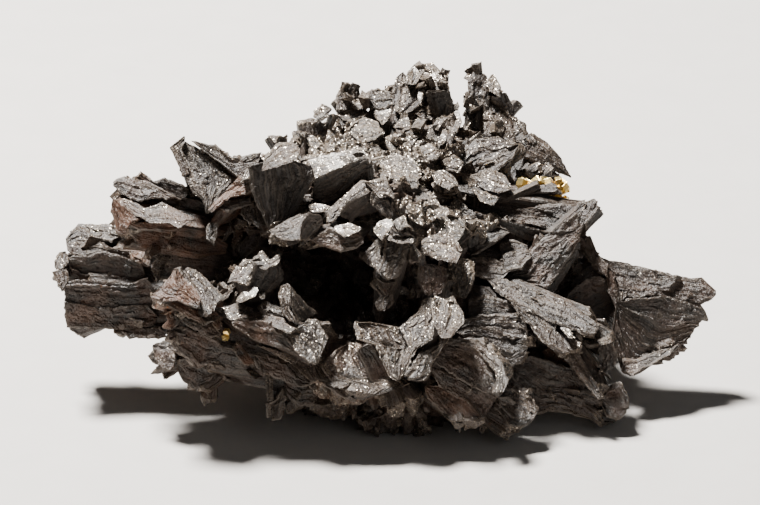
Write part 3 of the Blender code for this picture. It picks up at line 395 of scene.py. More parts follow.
        Slab("left_under_wall", 95, (0, 0.1), 1.4, 0.09, 0.9, 0.2, [(-25.2, 2.9), (-19.8, 3), (-20.4, 2.2),
            (-24, 2.2)]),
        Slab("hung_left", 175, (-0.1, 0.2), 0.9, 0.21, 0.2, 0.5, [(-17.4, 2.4), (-16.9, 3.2), (-16.1, 3),
            (-16.6, 0.8), (-17.2, 1.2)]),
        Slab("hung_thin", -160, (0, 0.3), 0.7, 0.43, 0.2, 0.5, [(-15.9, 1), (-14.9, 3), (-14.9, 2.1),
            (-15.5, 1)]),
        Slab("hung_pale", -165, (0, 0.4), 0.8, 0.49, 0.4, 0.5, [(-14.9, 0.7), (-14.6, 1.8), (-13.8, 2.6),
            (-13.7, 1.9), (-14.6, 0.2)]),
        Slab("hung_dark", -150, (0.1, 0.1), 1.2, 0.03, 0.1, 0.3, [(-14.1, 0.6), (-12.6, 2.4), (-12, 2.1),
            (-12.1, 0.8), (-14, -1)]),
    ],
    "far_right": [
        Slab("ridge_face", 100, (0.05, 0.35), 1.8, 0.13, 0.2, 0.4, [(21.8, -0.2), (22.6, -0.9), (31.1, -2.8),
            (32.1, -2.7), (33.7, -4), (33, -4.8), (32, -5), (27, -4.1), (26, -4.4), (23.2, -3.9)]),
        Slab("ridge_drop", 10, (0, 0.5), 1, 0.4, 0.2, 0.7, [(23, -2.8), (24.2, -2.2), (25.1, -3),
            (24.2, -5)]),
        Slab("right_fan_face", 125, (0.2, 0.1), 1.8, 0.07, 0.15, 0.4, [(23.6, -5), (28.5, -4.6), (32, -5.8),
            (32.4, -6.6), (30.8, -8.8), (26.2, -11.8), (25.2, -12.1), (24.3, -11.7), (23.4, -8.2)]),
        Slab("right_fan_rim", 60, (0, 0.7), 1.6, 0.31, 0.2, 0.7, [(24.2, -10.6), (25.5, -10.8), (29.7, -9.2),
            (29.1, -10.1), (25.2, -12.2), (24.3, -11.9)]),
        Slab("fan_shoulder", 100, (0, 0.3), 1.2, 0.16, 0.6, 0.6, [(24.5, -4.7), (26.5, -5), (28.5, -4.7),
            (30.2, -5), (30, -5.9), (26, -6.3), (24.8, -6.1)]),
        Slab("thorn_head", 15, (0, 0.5), 1.2, 0.18, 0.1, 0.4, [(20.4, 5.1), (21.6, 5.1), (21.7, 4.5),
            (20.6, 3), (20.4, 1.7), (19.6, 1.3), (19.3, 2.7)]),
        Slab("thorn_stem", -40, (-0.2, 0.4), 1.2, 0.27, 0.2, 0.4, [(20.2, 1.6), (22.7, -1.3), (22.7, -2.5),
            (21.8, -1.9), (20.1, 0.3)]),
        Slab("thorn_prong", 5, (0.2, 0.3), 1, 0.13, 0.3, 0.6, [(22.6, -1.7), (23.3, -1.9), (24.1, -5.3),
            (24, -6.5), (22.9, -3.9)]),
        Slab("dark_wing", 60, (0, 0.3), 1.4, 0.16, 0.3, 0.2, [(19.2, -3), (20.2, -1.9), (21.5, -1.4),
            (22.4, -1.5), (22.3, -2.4), (21.2, -2.6), (19.4, -3.9)]),
        Slab("dark_wing_low", 65, (0.2, -0.1), 1.4, 0.02, 0.2, 0.2, [(18.2, -4.7), (21, -2.9), (22.4, -2.5),
            (23.9, -6.5), (23.2, -7.5), (22, -7.9)]),
        Slab("long_top", 97, (0, 0.35), 1.6, 0.07, 0.15, 0.3, [(8.9, 4.7), (11, 4.9), (13, 4.6), (20.1, 4.7),
            (19.8, 3.7), (18, 2.5), (18.5, 2.1), (9.4, 4.2)]),
        Slab("long_side", 105, (0.1, -0.25), 1.6, 0, 0.05, 0.4, [(8.6, 4.2), (16.5, 2.1), (18.3, 2),
            (15, 1.2), (11.5, 2.7), (8.6, 3.2)]),
        Slab("rod_face", 42, (-0.1, 0.25), 1.8, 0.07, 0.25, 1.8, [(12.3, -2.6), (14, -1.5), (16.5, 1.3),
            (18, 2), (19.6, 2.2), (20, 1.4), (16.5, -3.5)]),
        Slab("rod_side", 40, (0.7, -0.1), 1.6, 0, 0.1, 1.2, [(16, -3.6), (17.3, -2.6), (19.7, 0.5),
            (19.9, -0.1), (17.6, -3.6), (16.5, -4.4)]),
        Slab("rod_head", 35, (0, 0.3), 1.4, 0.09, 0.2, 1.6, [(17.6, 1.5), (18.2, 2.7), (19.8, 4),
            (20.5, 3.5), (19.7, 1.3)]),
        Slab("inner_lens", 75, (0, 0.6), 1.6, 0.22, 0.1, 0.4, [(11.9, 0.7), (13.4, 1.1), (14.8, 0.6),
            (15.2, -0.3), (14.1, -1.4), (12.5, -1.8), (11.9, -0.9), (12.8, -0.2)]),
        Slab("inner_upper", 60, (0, 0.4), 1.4, 0.13, 0.1, 0.3, [(8.8, 2), (10, 3.1), (11.8, 2.8),
            (13.1, 2.1), (9.1, -0.3)]),
        Slab("inner_low", 85, (0, 0.5), 1.6, 0.25, 0.1, 0.3, [(8.6, -0.9), (10, -0.5), (11.8, -0.9),
            (13, -1.7), (12.3, -2.7), (9.4, -2.3)]),
    ],
    "lower_right": [
        Slab("mid_upper", 115, (0, 0.7), 1.6, 0.32, 0.1, 0.5, [(10.8, -2.7), (12.5, -2.8), (18.1, -4.9),
            (21.9, -7.3), (21.7, -8), (20.8, -8.2), (16.5, -6.5), (11.6, -3.8)]),
        Slab("mid_lower", 125, (0.1, 0.55), 1.6, 0.27, 0.1, 0.5, [(12.6, -4.5), (17.7, -7), (17.4, -7.9),
            (18.3, -8.7), (18.9, -9.9), (18, -10), (16.8, -9.3)]),
        Slab("mid_stem", 150, (0.1, 0.4), 1.4, 0.24, 0.15, 0.5, [(17.7, -8.8), (19.5, -9.6), (22.4, -14.6),
            (21.8, -14.7), (18.5, -10.5)]),
        Slab("mid_hook", 95, (0, 0.8), 0.9, 0.43, 0.2, 0.6, [(20.1, -8.7), (21.2, -9), (23, -8.3),
            (23.3, -8.9), (21, -9.6)]),
        Slab("mid_tip", 160, (0, 0.9), 0.8, 1.6, 0, 0.9, [(18.1, -7.4), (18.6, -7), (19.5, -8.7),
            (18.8, -8.5)]),
        Slab("mid_block", 170, (0.2, 0.1), 1.4, 0.11, 0.2, 0.4, [(21.9, -9.4), (22.6, -9.1), (23.3, -9.3),
            (23.7, -10.3), (23.3, -11.6), (22.4, -12.1)]),
        Slab("layered_upper", 80, (0, 0.35), 1.6, 0.14, 0.1, 0.3, [(8.8, -4.9), (10.5, -4.4), (13.5, -5.1),
            (13.9, -6), (12.5, -6.4), (9, -6.6)]),
        Slab("layered_face", 95, (0.1, 0.3), 1.6, 0.16, 0.1, 0.4, [(7.2, -7.8), (8.6, -6.8), (10, -6.4),
            (13.9, -6.5), (14.6, -7.3), (14.8, -8.3), (14.3, -9.3), (13.1, -10), (10, -8.9), (8.2, -8.7)]),
        Slab("layered_low", 100, (0.1, 0.1), 1.4, 0.08, 0.1, 0.2, [(12, -9.7), (13.2, -10.1), (14.4, -9.3),
            (14.8, -9.7), (14.2, -10.9), (12.8, -11.5), (12, -11.1)]),
        Slab("petal_face", 125, (0.1, 0.35), 1.6, 0.16, 0.2, 0.4, [(5, -9.3), (6.5, -8.8), (9.6, -9),
            (10.6, -9.9), (11.9, -12), (12.1, -13.3), (11.2, -14), (10, -13.6), (5.1, -10.5)]),
        Slab("petal_rim", 140, (0.1, 0.8), 1.6, 0.51, 0.1, 0.7, [(9, -9), (10, -9.1), (12.1, -10.8),
            (12.8, -13), (11.7, -14.6), (11.3, -13.9), (11.8, -13.1), (11.5, -11.8)]),
        Slab("petal_under", 125, (0.1, 0.1), 1.4, 0.05, 0.2, 0.3, [(5, -11.3), (9.5, -13.2), (11.6, -14.5),
            (10.4, -16.6), (9.9, -15.7), (6, -13.3)]),
        Slab("petal_low_face", 125, (0, 0.35), 1.6, 0.16, 0.45, 0.4, [(4.4, -13.3), (6, -13.5), (8.8, -14.9),
            (10.3, -16.8), (9.8, -17.4), (7, -16.6), (4.8, -14.4)]),
        Slab("petal_low_rim", 70, (0, 0.8), 1.2, 0.38, 0.2, 0.6, [(6.3, -16), (8.8, -16.6), (10, -16.1),
            (10.4, -16.9), (9.8, -17.6), (7, -16.8)]),
        Slab("petal_foot_face", 110, (0.1, 0.4), 1.6, 0.24, 0.1, 0.4, [(11.9, -13.5), (14.8, -13.9),
            (15.8, -15.9), (15.3, -16.8), (14.4, -17.2), (13, -17), (11.4, -15.1)]),
        Slab("petal_foot_dark", 110, (0.2, 0), 1.2, 0.03, 0.1, 0.5, [(11.8, -14.5), (12.8, -14.5),
            (13.6, -15.3), (13.8, -16.5), (12.8, -16.7), (11.9, -15.8)]),
        Slab("tail_face", 115, (0.1, 0.05), 1.8, 0.04, 0.1, 0.3, [(12.6, -11.1), (15, -10.6), (19.1, -11.9),
            (21, -13.2), (22, -14.6), (23.9, -13.2), (24.8, -15.6), (24.2, -16.6), (22.5, -17), (19, -15.8),
            (17, -15.6), (15.3, -16.1), (12.9, -13.5)]),
        Slab("tail_lump", 100, (0, 0.3), 1.2, 0.14, 0.2, 0.5, [(22, -14.6), (23.2, -13.4), (24, -13.2),
            (24.7, -14.3), (24.8, -15.7), (23.8, -16.5), (22.6, -16.1)]),
        Slab("gold_bed", 110, (0, 0.4), 1, 0.22, 0.9, 0.4, [(16.1, -9.9), (17.2, -9.5), (19.5, -10.9),
            (19.2, -11.5), (16.7, -10.7)]),
    ],
    "druse": [
        Slab("plate_white", 60, (-0.1, 0.9), 2, 1.3, 0, 0.5, [(-7.8, 8.7), (-6, 9.5), (-1.7, 10.4),
            (-1.2, 9.7), (-7.2, 6.8), (-7.8, 7.3)]),
        Slab("plate_hollow", 65, (0.2, -0.5), 1.2, 0, 0.05, 0.1, [(-6.6, 7.1), (-1.4, 9.5), (-0.9, 8.7),
            (-4.1, 5.6), (-5.5, 5.1), (-6.7, 5.5)]),
        Slab("plate_upper", 80, (0, 0.8), 2, 0.9, 0.15, 0.3, [(-7.8, 11), (-7.2, 12.2), (-6, 12.6),
            (-4.9, 11.6), (-3.4, 11.3), (-2.8, 10.5), (-3.9, 9.8), (-6.8, 9.4), (-7.7, 10.1)]),
        Slab("plate_knots", 70, (0.1, 0.6), 1.6, 0.67, 0.1, 0.4, [(-6, 12.7), (-5, 13.4), (-3.8, 13.7),
            (-2.8, 13.3), (-2.7, 12.3), (-3.5, 11.5), (-4.7, 11.7)]),
        Slab("plate_far", 85, (0, 0.85), 1.8, 1.05, 0.05, 0.4, [(-3, 12.7), (-1.5, 13.4), (-0.2, 13),
            (0.3, 12.1), (-0.5, 11.4), (-2, 11.2), (-3, 11.8)]),
        Slab("plate_far_low", 85, (0.1, 0.5), 1.6, 0.67, 0.1, 0.2, [(-2.8, 11.1), (-0.2, 10.7), (0.4, 9.9),
            (-0.8, 9.5), (-2.2, 10.1)]),
        Slab("plate_mid", 85, (0, 0.9), 1.6, 1.14, 0, 0.6, [(0.3, 11.4), (1.5, 11.8), (2.6, 11.5),
            (3.1, 10.7), (2.3, 10), (1.2, 10), (0.4, 10.6)]),
        Slab("plate_apron", 95, (0, 0.9), 1.8, 1.09, 0.05, 0.5, [(-1.9, 9.3), (2, 9.6), (3.3, 9.1),
            (4.1, 8.1), (3.9, 6.6), (3, 6.6), (2, 7.4), (-1.7, 8.2)]),
        Slab("plate_strut", 50, (0, 0.7), 1.4, 0.76, 0.1, 0.5, [(4, 10.4), (5, 10.9), (6.1, 10.1),
            (5.6, 9.4), (4.5, 9.2)]),
        Slab("plate_wing", 110, (0, 0.9), 1.4, 0.95, 0, 0.5, [(3.8, 5.6), (5, 6), (6, 4.8), (5.3, 4.4),
            (4.1, 4.9)]),
        Slab("plate_large", 105, (0, 0.85), 2, 1.05, 0, 0.6, [(5.1, 4.1), (6.5, 4.4), (8.7, 2.7), (7.9, 1.4),
            (6.8, 1.2), (6, 1.7)]),
        Slab("plate_crumbs", 95, (0, 0.75), 2, 0.9, 0.2, 0.5, [(4.1, 1.2), (6, 1.8), (7.3, 1.4), (8.2, 0.3),
            (7.8, -1), (4, 0.1)]),
        Slab("plate_flank", 0, (0.2, 0.5), 1.6, 0.76, 0.05, 0.3, [(6.8, -0.9), (8, -0.5), (9.2, -0.9),
            (9.2, -2.7), (8.6, -4.7), (7.5, -4.3)]),
        Slab("gate_rock", 0, (0, 0.2), 1.6, 0.24, 0.3, 0.4, [(4, -0.9), (6.4, -1.5), (6.6, -2.7), (6, -4.1),
            (4.8, -4.3), (4, -3.1)]),
        Slab("gate_speck", 0, (0, 0.7), 0.8, 0.76, 0.9, 0.7, [(5.1, -3.7), (5.6, -3.3), (6, -3.9),
            (5.6, -4.3)]),
        Slab("plate_cap", 80, (0, 0.8), 1.4, 0.95, 0.1, 0.4, [(-4.2, 13.9), (-2, 14.6), (-1.3, 13.9),
            (-2.6, 13.2), (-3.7, 13.2)]),
        Slab("plate_bright", 75, (0, 0.9), 1.4, 1.3, 0, 0.5, [(-0.7, 13.9), (0.4, 14.8), (1.4, 14),
            (0.2, 12.9)]),
        Slab("plate_left_cap", 80, (0, 0.7), 1.6, 0.9, 0.05, 0.3, [(-6.7, 14), (-5.8, 14.8), (-4.8, 14.4),
            (-5.3, 13.5), (-6.5, 12.9)]),
        Slab("chip_a", 30, (0.1, 0.5), 1.4, 0.57, 0.1, 0.4, [(4.4, 11.6), (5.2, 12.8), (6.1, 12.3),
            (5.9, 11.2), (4.8, 10.9)]),
        Slab("chip_b", 60, (0, 1), 1, 1.5, 0, 0.6, [(5.4, 11.2), (6.5, 11.9), (6.5, 11.1), (5.8, 10.7)]),
        Slab("chip_c", 20, (-0.1, 0.9), 1.4, 1.4, 0, 0.5, [(6.7, 12.7), (7.2, 13.9), (7.9, 14.2),
            (8.1, 13.1), (7.6, 11.9), (6.9, 12)]),
        Slab("chip_d", 20, (0, 0.9), 1.2, 1.3, 0, 0.5, [(1.9, 13.2), (2.8, 13.6), (3.1, 12.6), (2.2, 12.2)]),
        Slab("chip_e", 110, (0, 0.9), 1.4, 1.14, 0, 0.6, [(9.2, 6.4), (11.9, 5.5), (11.4, 4.8), (10, 5.2)]),
        Slab("chip_f", 140, (0, 0.6), 1.2, 0.76, 0, 0.5, [(7.3, 5.8), (9.7, 3.5), (8.9, 3.2), (7.7, 4.2)]),
        Slab("chip_g", 10, (0, 0.7), 1.4, 0.86, 0.05, 0.5, [(1.1, 4.7), (2, 5.6), (3.1, 5.3), (2.9, 4),
            (1.8, 3.6)]),
        Slab("chip_h", 20, (0, 0.8), 1.2, 0.95, 0, 0.5, [(1.3, 3), (2.4, 3.8), (2.8, 2.7), (1.9, 2.1)]),
        Slab("chip_i", 80, (0.1, 0.6), 1.4, 0.67, 0.1, 0.4, [(6, 9.1), (7.5, 9.7), (8.4, 9.1), (7.8, 8.1),
            (6.6, 8.3)]),
        Slab("chip_j", 120, (0, 0.7), 1.2, 0.76, 0.1, 0.5, [(5, 8.1), (6.5, 8.1), (7.8, 7.1), (7, 6.3),
            (5.6, 7)]),
        Slab("chip_k", 60, (0, 0.8), 1.2, 0.86, 0.1, 0.5, [(-2.8, 14.3), (-2.8, 15.7), (-1.8, 15.3),
            (-1.6, 14.5)]),
        Slab("chip_l", 90, (0, 0.5), 1.4, 0.57, 0.1, 0.4, [(1.5, 12.5), (3, 12.5), (4, 11.7), (3.2, 10.7),
            (1.8, 11.3)]),
        Slab("chip_m", 100, (0, 0.8), 1.4, 0.86, 0.1, 0.5, [(9, 7.7), (11, 8.2), (12.6, 7.5), (13.2, 6.3),
            (11.8, 6), (10, 6.7)]),
    ],
    "peak": [
        Slab("left_column", -5, (0, 0.4), 1.6, 0.5, 0.1, 0.2, [(1.1, 14.9), (1.7, 17.6), (2.3, 18.1),
            (2.8, 17.3), (2.7, 15.8), (2.2, 14.7)]),
        Slab("left_bright", 0, (0, 0.8), 1.4, 1.3, 0, 0.6, [(2.6, 16.9), (2.9, 18.2), (3.5, 18.6), (4, 17.7),
            (3.5, 16.6)]),
        Slab("left_body", 10, (-0.1, 0.5), 2, 0.76, 0.1, 0.4, [(1.4, 14.1), (2.2, 16.5), (4.2, 16.9),
            (4.5, 16), (4, 14.8), (3.2, 14.1), (2.2, 13.8)]),
        Slab("left_top", 90, (0, 0.7), 2, 1.01, 0.05, 0.4, [(3.7, 17.3), (4.3, 18.7), (5.3, 18.8),
            (6.6, 17.4), (6.9, 16.3), (6.1, 16), (4.4, 16.6), (3.9, 16.1)]),
        Slab("left_flash", 80, (0, 0.9), 1, 1.6, 0, 0.9, [(4.8, 17.5), (5.9, 18), (6.7, 17), (6.3, 16.1),
            (5.4, 16.4)]),
        Slab("left_flash_low", 10, (0, 0.9), 0.9, 1.6, 0, 0.8, [(3.8, 15.5), (4, 16.7), (4.6, 16.9),
            (4.1, 14.7)]),
        Slab("left_dark", 0, (0.3, -0.2), 1.8, 0.02, 0.05, 0.2, [(4.8, 16.1), (6.8, 16.3), (7.3, 13.2),
            (6.1, 13.4), (5.2, 14)]),
        Slab("left_base", 80, (0, 0.6), 1.6, 0.81, 0.1, 0.4, [(3.3, 14.1), (4, 14.9), (5, 14.9), (5.8, 14.1),
            (5.2, 13.3), (4, 13.5)]),
        Slab("right_column", -2, (-0.1, 0.15), 1.8, 0.15, 0.1, 0.3, [(8.6, 12.5), (9, 17.3), (9.6, 18.2),
            (10.5, 17.7), (10.8, 16.1), (10.5, 12.1)]),
        Slab("right_flash", 5, (0, 0.7), 1.2, 1.01, 0, 0.7, [(10.7, 17.4), (11.4, 17.8), (12, 16.6),
            (11.9, 15.7), (11, 16)]),
        Slab("right_hollow", -20, (0.3, -0.4), 1.2, 0, 0.1, 0.1, [(11.1, 15.6), (12.5, 15.9), (13.3, 14.5),
            (13.1, 13.2)]),
        Slab("right_body", 5, (0, 0.4), 1.6, 0.66, 0.15, 0.4, [(10.6, 14.1), (12, 14.2), (14.3, 12.9),
            (14.5, 11.7), (13.5, 10.9), (10.7, 11.7)]),
        Slab("right_plane", 60, (-0.1, 0.45), 1.8, 0.35, 0.1, 0.4, [(8.5, 10.1), (10, 11.2), (12, 11.4),
            (13.7, 10.7), (13.3, 9.6), (10, 7.6), (8.8, 7.3), (8.2, 8.7)]),
        Slab("right_slope", 125, (0.2, 0.3), 1.6, 0.2, 0.1, 0.3, [(13.7, 11.1), (15, 11.9), (16.6, 10.9),
            (18.1, 9.3), (19.2, 7.4), (14.4, 9.7)]),
        Slab("thumb", 5, (0, 0.4), 1.4, 0.5, 0.1, 0.3, [(-4.3, 14.1), (-4.2, 15.7), (-3.6, 16.5),
            (-3.2, 15.5), (-3.4, 14.1)]),
        Slab("thumb_dark", 10, (0.2, 0), 1.4, 0.1, 0.1, 0.3, [(-3.3, 14.5), (-3.2, 16.1), (-2.7, 17.1),
            (-2.1, 16.7), (-2.1, 14.9), (-2.6, 14.3)]),
        Slab("ridge_grey", 80, (0, 0.4), 1.6, 0.4, 0.1, 0.2, [(-1.8, 14.9), (-1.4, 15.9), (-0.2, 16.3),
            (1.2, 15.9), (1.4, 14.9), (0.4, 14.5), (-1, 14.5)]),
    ],
    "far_left": [
        Slab("top_plates", 95, (0, 0.7), 1.8, 0.45, 0.1, 0.4, [(-29.4, 2.7), (-26.7, 2.7), (-26, 1.7),
            (-26.8, 1.1), (-29.2, 1.7)]),
        Slab("top_step", 95, (0, 0.6), 1.8, 0.35, 0.15, 0.4, [(-31.4, 1.5), (-30.2, 2.7), (-29.2, 2.5),
            (-28.8, 1.3), (-27.4, 0.9), (-27.6, 0.1), (-29.2, -0.3), (-30.6, -0.1), (-31.4, 0.5)]),
        Slab("tip_bright", 20, (0, 0.7), 1.2, 0.5, 0.1, 0.5, [(-32.5, -0.9), (-32, 0.1), (-31.4, 0.1),
            (-31.2, -0.9), (-31.8, -1.7), (-32.4, -1.7)]),
        Slab("tip_low", 0, (0, 0.4), 1.2, 0.3, 0.2, 0.4, [(-32.7, -1.9), (-31.4, -1.5), (-31.2, -2.9),
            (-31.8, -3.9)]),
        Slab("face_upper", 95, (0, -0.1), 1.8, 0, 0.25, 0.4, [(-31.2, -0.5), (-29.2, -0.5), (-27.6, -0.1),
            (-24, -1.1), (-23.4, -2.3), (-25, -3.1), (-29.6, -2.7), (-31, -2.1)]),
        Slab("face_middle", 90, (0.1, -0.15), 1.8, 0, 0.35, 0.4, [(-31.4, -3.1), (-29.6, -2.9), (-25, -3.3),
            (-23.2, -2.7), (-22.4, -3.9), (-23, -5.3), (-30.4, -5.3), (-31.6, -4.7)]),
        Slab("face_low", 85, (0.1, -0.2), 1.8, 0, 0.35, 0.3, [(-31.6, -5.1), (-28, -5.7), (-23, -5.5),
            (-22.2, -6.5), (-23, -7.7), (-31.4, -7.3)]),
        Slab("hem_low", 100, (0, 0.3), 1.4, 0.13, 0.3, 0.3, [(-26.2, -7.7), (-22, -7.5), (-21.2, -8.5),
            (-25, -8.5)]),
        Slab("pink_patch", 120, (0, 0.5), 1.2, 0.25, 0.9, 0.5, [(-25, 0.1), (-23.8, 0.3), (-23, -0.5),
            (-23.2, -1.5), (-24.9, -0.7)]),
        Slab("pale_chip", 160, (0, 0.6), 0.9, 0.5, 0.1, 0.6, [(-22.9, -1.6), (-22.2, -1.7), (-22, -2.5),
            (-22.2, -3.3)]),
    ],
    "lower_left": [
        Slab("layer_dark", 115, (0, 0.1), 1.4, 0.04, 0.3, 0.2, [(-21.4, -7.7), (-20, -7.5), (-16.4, -8.9),
            (-15.6, -9.9), (-16.6, -10.9), (-18.2, -11.3), (-20.8, -9.1)]),
        Slab("layer_ribs", 118, (0, 0.35), 1.4, 0.25, 0.3, 0.4, [(-20, -5.9), (-16.8, -7.1), (-15.8, -8.3),
            (-17, -8.5), (-19.8, -6.9)]),
        Slab("foot_grey", 110, (0, 0.35), 1.4, 0.29, 0.3, 0.4, [(-22.8, -9.3), (-20.6, -8.7), (-20, -9.7),
            (-20.8, -10.5), (-20.4, -11.5), (-21.4, -11.7), (-22.4, -10.7)]),
        Slab("foot_dark", 120, (0, 0.05), 1.4, 0.04, 0.2, 0.2, [(-20.4, -11.5), (-19.8, -10.5), (-16, -11.9),
            (-17.4, -13.1), (-18.4, -13.5), (-19.6, -12.7)]),
        Slab("prism_left", -2, (0, 0.3), 1.2, 0.43, 0.05, 0.6, [(-11.4, -12.5), (-10.8, -12.3),
            (-10.7, -14.7), (-11.2, -15.1)]),
        Slab("prism_right", 8, (0, 0.25), 1.2, 0.29, 0.05, 0.6, [(-11.3, -15.1), (-10.4, -14.7),
            (-9.8, -13.5), (-9.4, -14.5), (-10, -16.7), (-11.2, -16.7)]),
        Slab("spar_gold", 115, (0, 0.6), 0.9, 0.65, 0.9, 0.6, [(-16.9, -6.4), (-16.1, -6.4), (-15.8, -7.4),
            (-16.2, -7.8), (-16.8, -7.1)]),
        Slab("layer_mid", 118, (0.1, 0.15), 1.4, 0.07, 0.2, 0.3, [(-12.4, -9.9), (-9.2, -10.9),
            (-6.8, -13.1), (-8, -13.3), (-11.8, -11.9), (-12.6, -10.9)]),
        Slab("hem_dark", 100, (0, 0), 1.4, 0.04, 0.2, 0.3, [(-9.6, -12.9), (-8, -13.3), (-6.6, -13.1),
            (-6.2, -14.3), (-6.8, -15.3), (-8.4, -15.1), (-9.4, -14.1)]),
        Slab("hem_pale", 20, (0, 0.4), 0.8, 0.58, 0.1, 0.6, [(-8.8, -14.3), (-8.3, -13.9), (-7.9, -14.1),
            (-8.2, -14.9)]),
        Slab("hem_pale_right", 20, (0, 0.4), 0.8, 0.43, 0.1, 0.6, [(-7.1, -13.3), (-6.5, -13.1),
            (-6.4, -13.7), (-6.9, -13.9)]),
    ],
}


# Lumps of massive ore, in millimetres.
LUMPS = [
    Lump("heart", (3.4, 19.4, -2.6), (11.4, 8.4, 8.8)),
    Lump("left", (-14, 17, -1.4), (9.4, 6.2, 5.4)),
    Lump("crown", (-10.8, 15.2, 4), (9.8, 5.2, 3.8)),
    Lump("arch", (-1.6, 13.6, 4.8), (6, 4.8, 3.6)),
    Lump("top", (4, 24.6, 6.2), (10.6, 7.2, 6.2)),
    Lump("right", (15.4, 20, -3.8), (8.4, 5.4, 5)),
    Lump("gate", (4.8, 12.4, -3.8), (4.2, 4.8, 7.2)),
    Lump("base", (3, 15.4, -13), (13.2, 9.4, 6.8)),
    Lump("base_rear", (1, 23.4, -9.4), (10, 6.6, 5.4)),
    Lump("keel", (1.6, 8.4, -11.8), (6.8, 4.8, 4.6)),
    Lump("sill", (-7.4, 9.2, -10), (10, 4.8, 3)),
    Lump("cavity_back", (-6.4, 17.4, -5.4), (7.4, 3.6, 6.4)),
    Lump("shoulder", (-15.4, 10.4, -5.6), (4.8, 5.8, 3.6)),
]

# Strips of small crystals. Spread is how far they stray from the line, aim is where they point,
# and the last two are their length and width in millimetres.
CRUSTS = [
    Crust("brow", (4.8, 9.6, 1), (4.4, 20.4, 9.6), 3.6, (0.1, -0.6, 0.8), 22, 3, 2.8),
    Crust("summit", (1, 19, 9.6), (6, 27, 12.6), 4.4, (0, -0.3, 0.9), 16, 3.2, 2.6),
    Crust("saddle", (8.6, 14, 2.6), (12.4, 25, 8), 3.2, (0.3, -0.5, 0.8), 12, 3, 2.6),
    Crust("ridge", (-8, 13.4, 8.2), (-1, 22, 11), 2.4, (-0.2, -0.4, 0.9), 12, 3, 3),
    Crust("rear", (-14, 22, 0), (16, 24, 0), 5, (0, 1, 0.2), 8, 4.4, 3.4),
    Crust("hem", (-3, 9, -15.4), (8.4, 7.6, -17.8), 1.4, (0, -0.8, -0.6), 8, 2.4, 2),
    Crust("sill", (-15, 6.6, -7.4), (-2, 6.4, -8.6), 1.2, (-0.2, -0.7, 0.6), 8, 2.6, 2),
]

# Intergrown pyrite. Spread is half its length, then its depth and height, and size is one cube's.
GRAINS = [
    Grain("pyrite_cluster", (16.5, 20.9, 6.1), (2.4, 1.6, 2.4), 0.72, 90),
    Grain("pyrite_grain", (-15.3, 2.8, -8.2), (0.1, 0.2, 0.7), 0.6, 4),
]

# The view: how far the camera stands, in metres, how much it takes in there, and where it aims.
CAMERA_DISTANCE = 0.9
FRAME_WIDTH = 0.076
CAMERA_TARGET = (0, 8, 0)
LIGHTS_AIM = (0, 0, 0.01)  # in metres, in the part's own frame

# How finely blocks are cut. The first is in millimetres, and the next three multiply the cut pitch.
ORE_PITCH = 0.48
ROW_PITCH = 1.5
LAYER_PITCH = 1.2
PLATE_LAYER_PITCH = 4
ROW_STRETCH = 1.3  # above 1, the cuts along a crystal stand closer towards its tip
NOISE_SEED = 1  # left unset, the noise would differ from run to run
MOST_CUTS = 96
OUTSIDE = 0.499  # a point of the unit block that is further from the middle is on its outside
TINY = 1e-6

# A crystal's section and end: shares of its section, then slopes and shares of its end.
ROOT_SHARE = 0.3  # how full the root's section is, as a share of the wedge's
ROOT_WIDENING = 2.8  # how fast it fills out along the crystal
CORNERS_KEPT = (0.66, 0.98)
CORNER_STEEPNESS = (0.2, 1.3)
CORNER_SKEW = 0.5
CORNER_START = (0.1, 0.42)
END_LEAN = (0.1, 0.7)
END_RAGGEDNESS = (0.3, 1.4)
END_LENGTH = 0.7  # millimetres of a crystal's length that count as its end
LONGEST_FALL = 0.45  # as a share of the crystal's length
TWIST = 8  # degrees that a crystal is twisted at most
NEARLY_PARALLEL = 0.2  # below this, a crystal points too nearly at the viewer to turn its width by

# The sizes, in millimetres, of the uneven patches by which the growth bends and weathers.
BENDS = 6.5
LUMPINESS = 1.4
PITTING = 0.45

# How a crystal's faces break, in millimetres across, along and into its growth.
WANDER = (0.15, 0.6, 0.15)
CHUNKS = (1.5, 1.2)
CRUMBS = (0.45, 0.45)
LATH_LENGTH = 4  # as a multiple of the facet width
CRACK_SPACING = 3.4
CRACK_WIDTH = 0.2
RULING_PITCH = 0.3
RULES = 199
RULES_MIDDLE = 100

# The broken plates, in millimetres unless it says otherwise.
PLATE_RAGGED = 0.14  # how far the edge strays from its outline at the deepest notches
PLATE_FINGERS = 2.2  # how many times further it strays at the ends of the growth
PLATE_NOTCH = 0.24  # from one notch to the next
PLATE_NOTCHES = 99
PLATE_GROWN = (0.34, 0.1)  # a plate grows into its neighbours by this, or by this share of its width
PLATE_BEVEL = 0.07  # how much of the face rounds off to its edge
PLATE_TAPER = 0.82  # the width of the back as a share of the face's
PLATE_RULING = 0.28
PLATE_RIBS = 0.8
PLATE_LATHS = (1.1, 6.0)
PLATE_CHIPS = (0.5, 1.0)
PLATE_PATCHES = (1.2, 1.2)
PLATE_PALE_AND_TOP_LIGHT = (0.35, 0.75, 0.25)  # how pale the foot is, how much paler the top is (partly drusy growth end, partly painted top light), and how patchy
PLATE_FADE = 0.3  # how pale the back is, as a share of the face
PLATE_NARROWEST = 0.1
PLATE_PALEST = (0.1, 1.1)  # the bounds of how pale a plate is, as shares of its own
PLATE_INSET = 0.05  # how much of the outline's top and bottom points is left off
OUTLINE_STEPS = 40
RAYS = (6, 9)  # rays across and up an outline, counting those on its edges, which are left out
SOLID_PERCENTILE = 35  # a plate's face stands by this percentile of the depths behind it
NO_SOLID = 12.0  # how far back a plate with no solid behind it stands

# How the ore breaks, in millimetres: how it wanders, then its plates and its chips.
ORE_WANDER = (2.5, 0.6)  # the size of the patches, and how far each is moved
ORE_PLATES = (1.9, 1.6, 1.7)
ORE_CHIPS = (0.8, 0.8, 0.8)

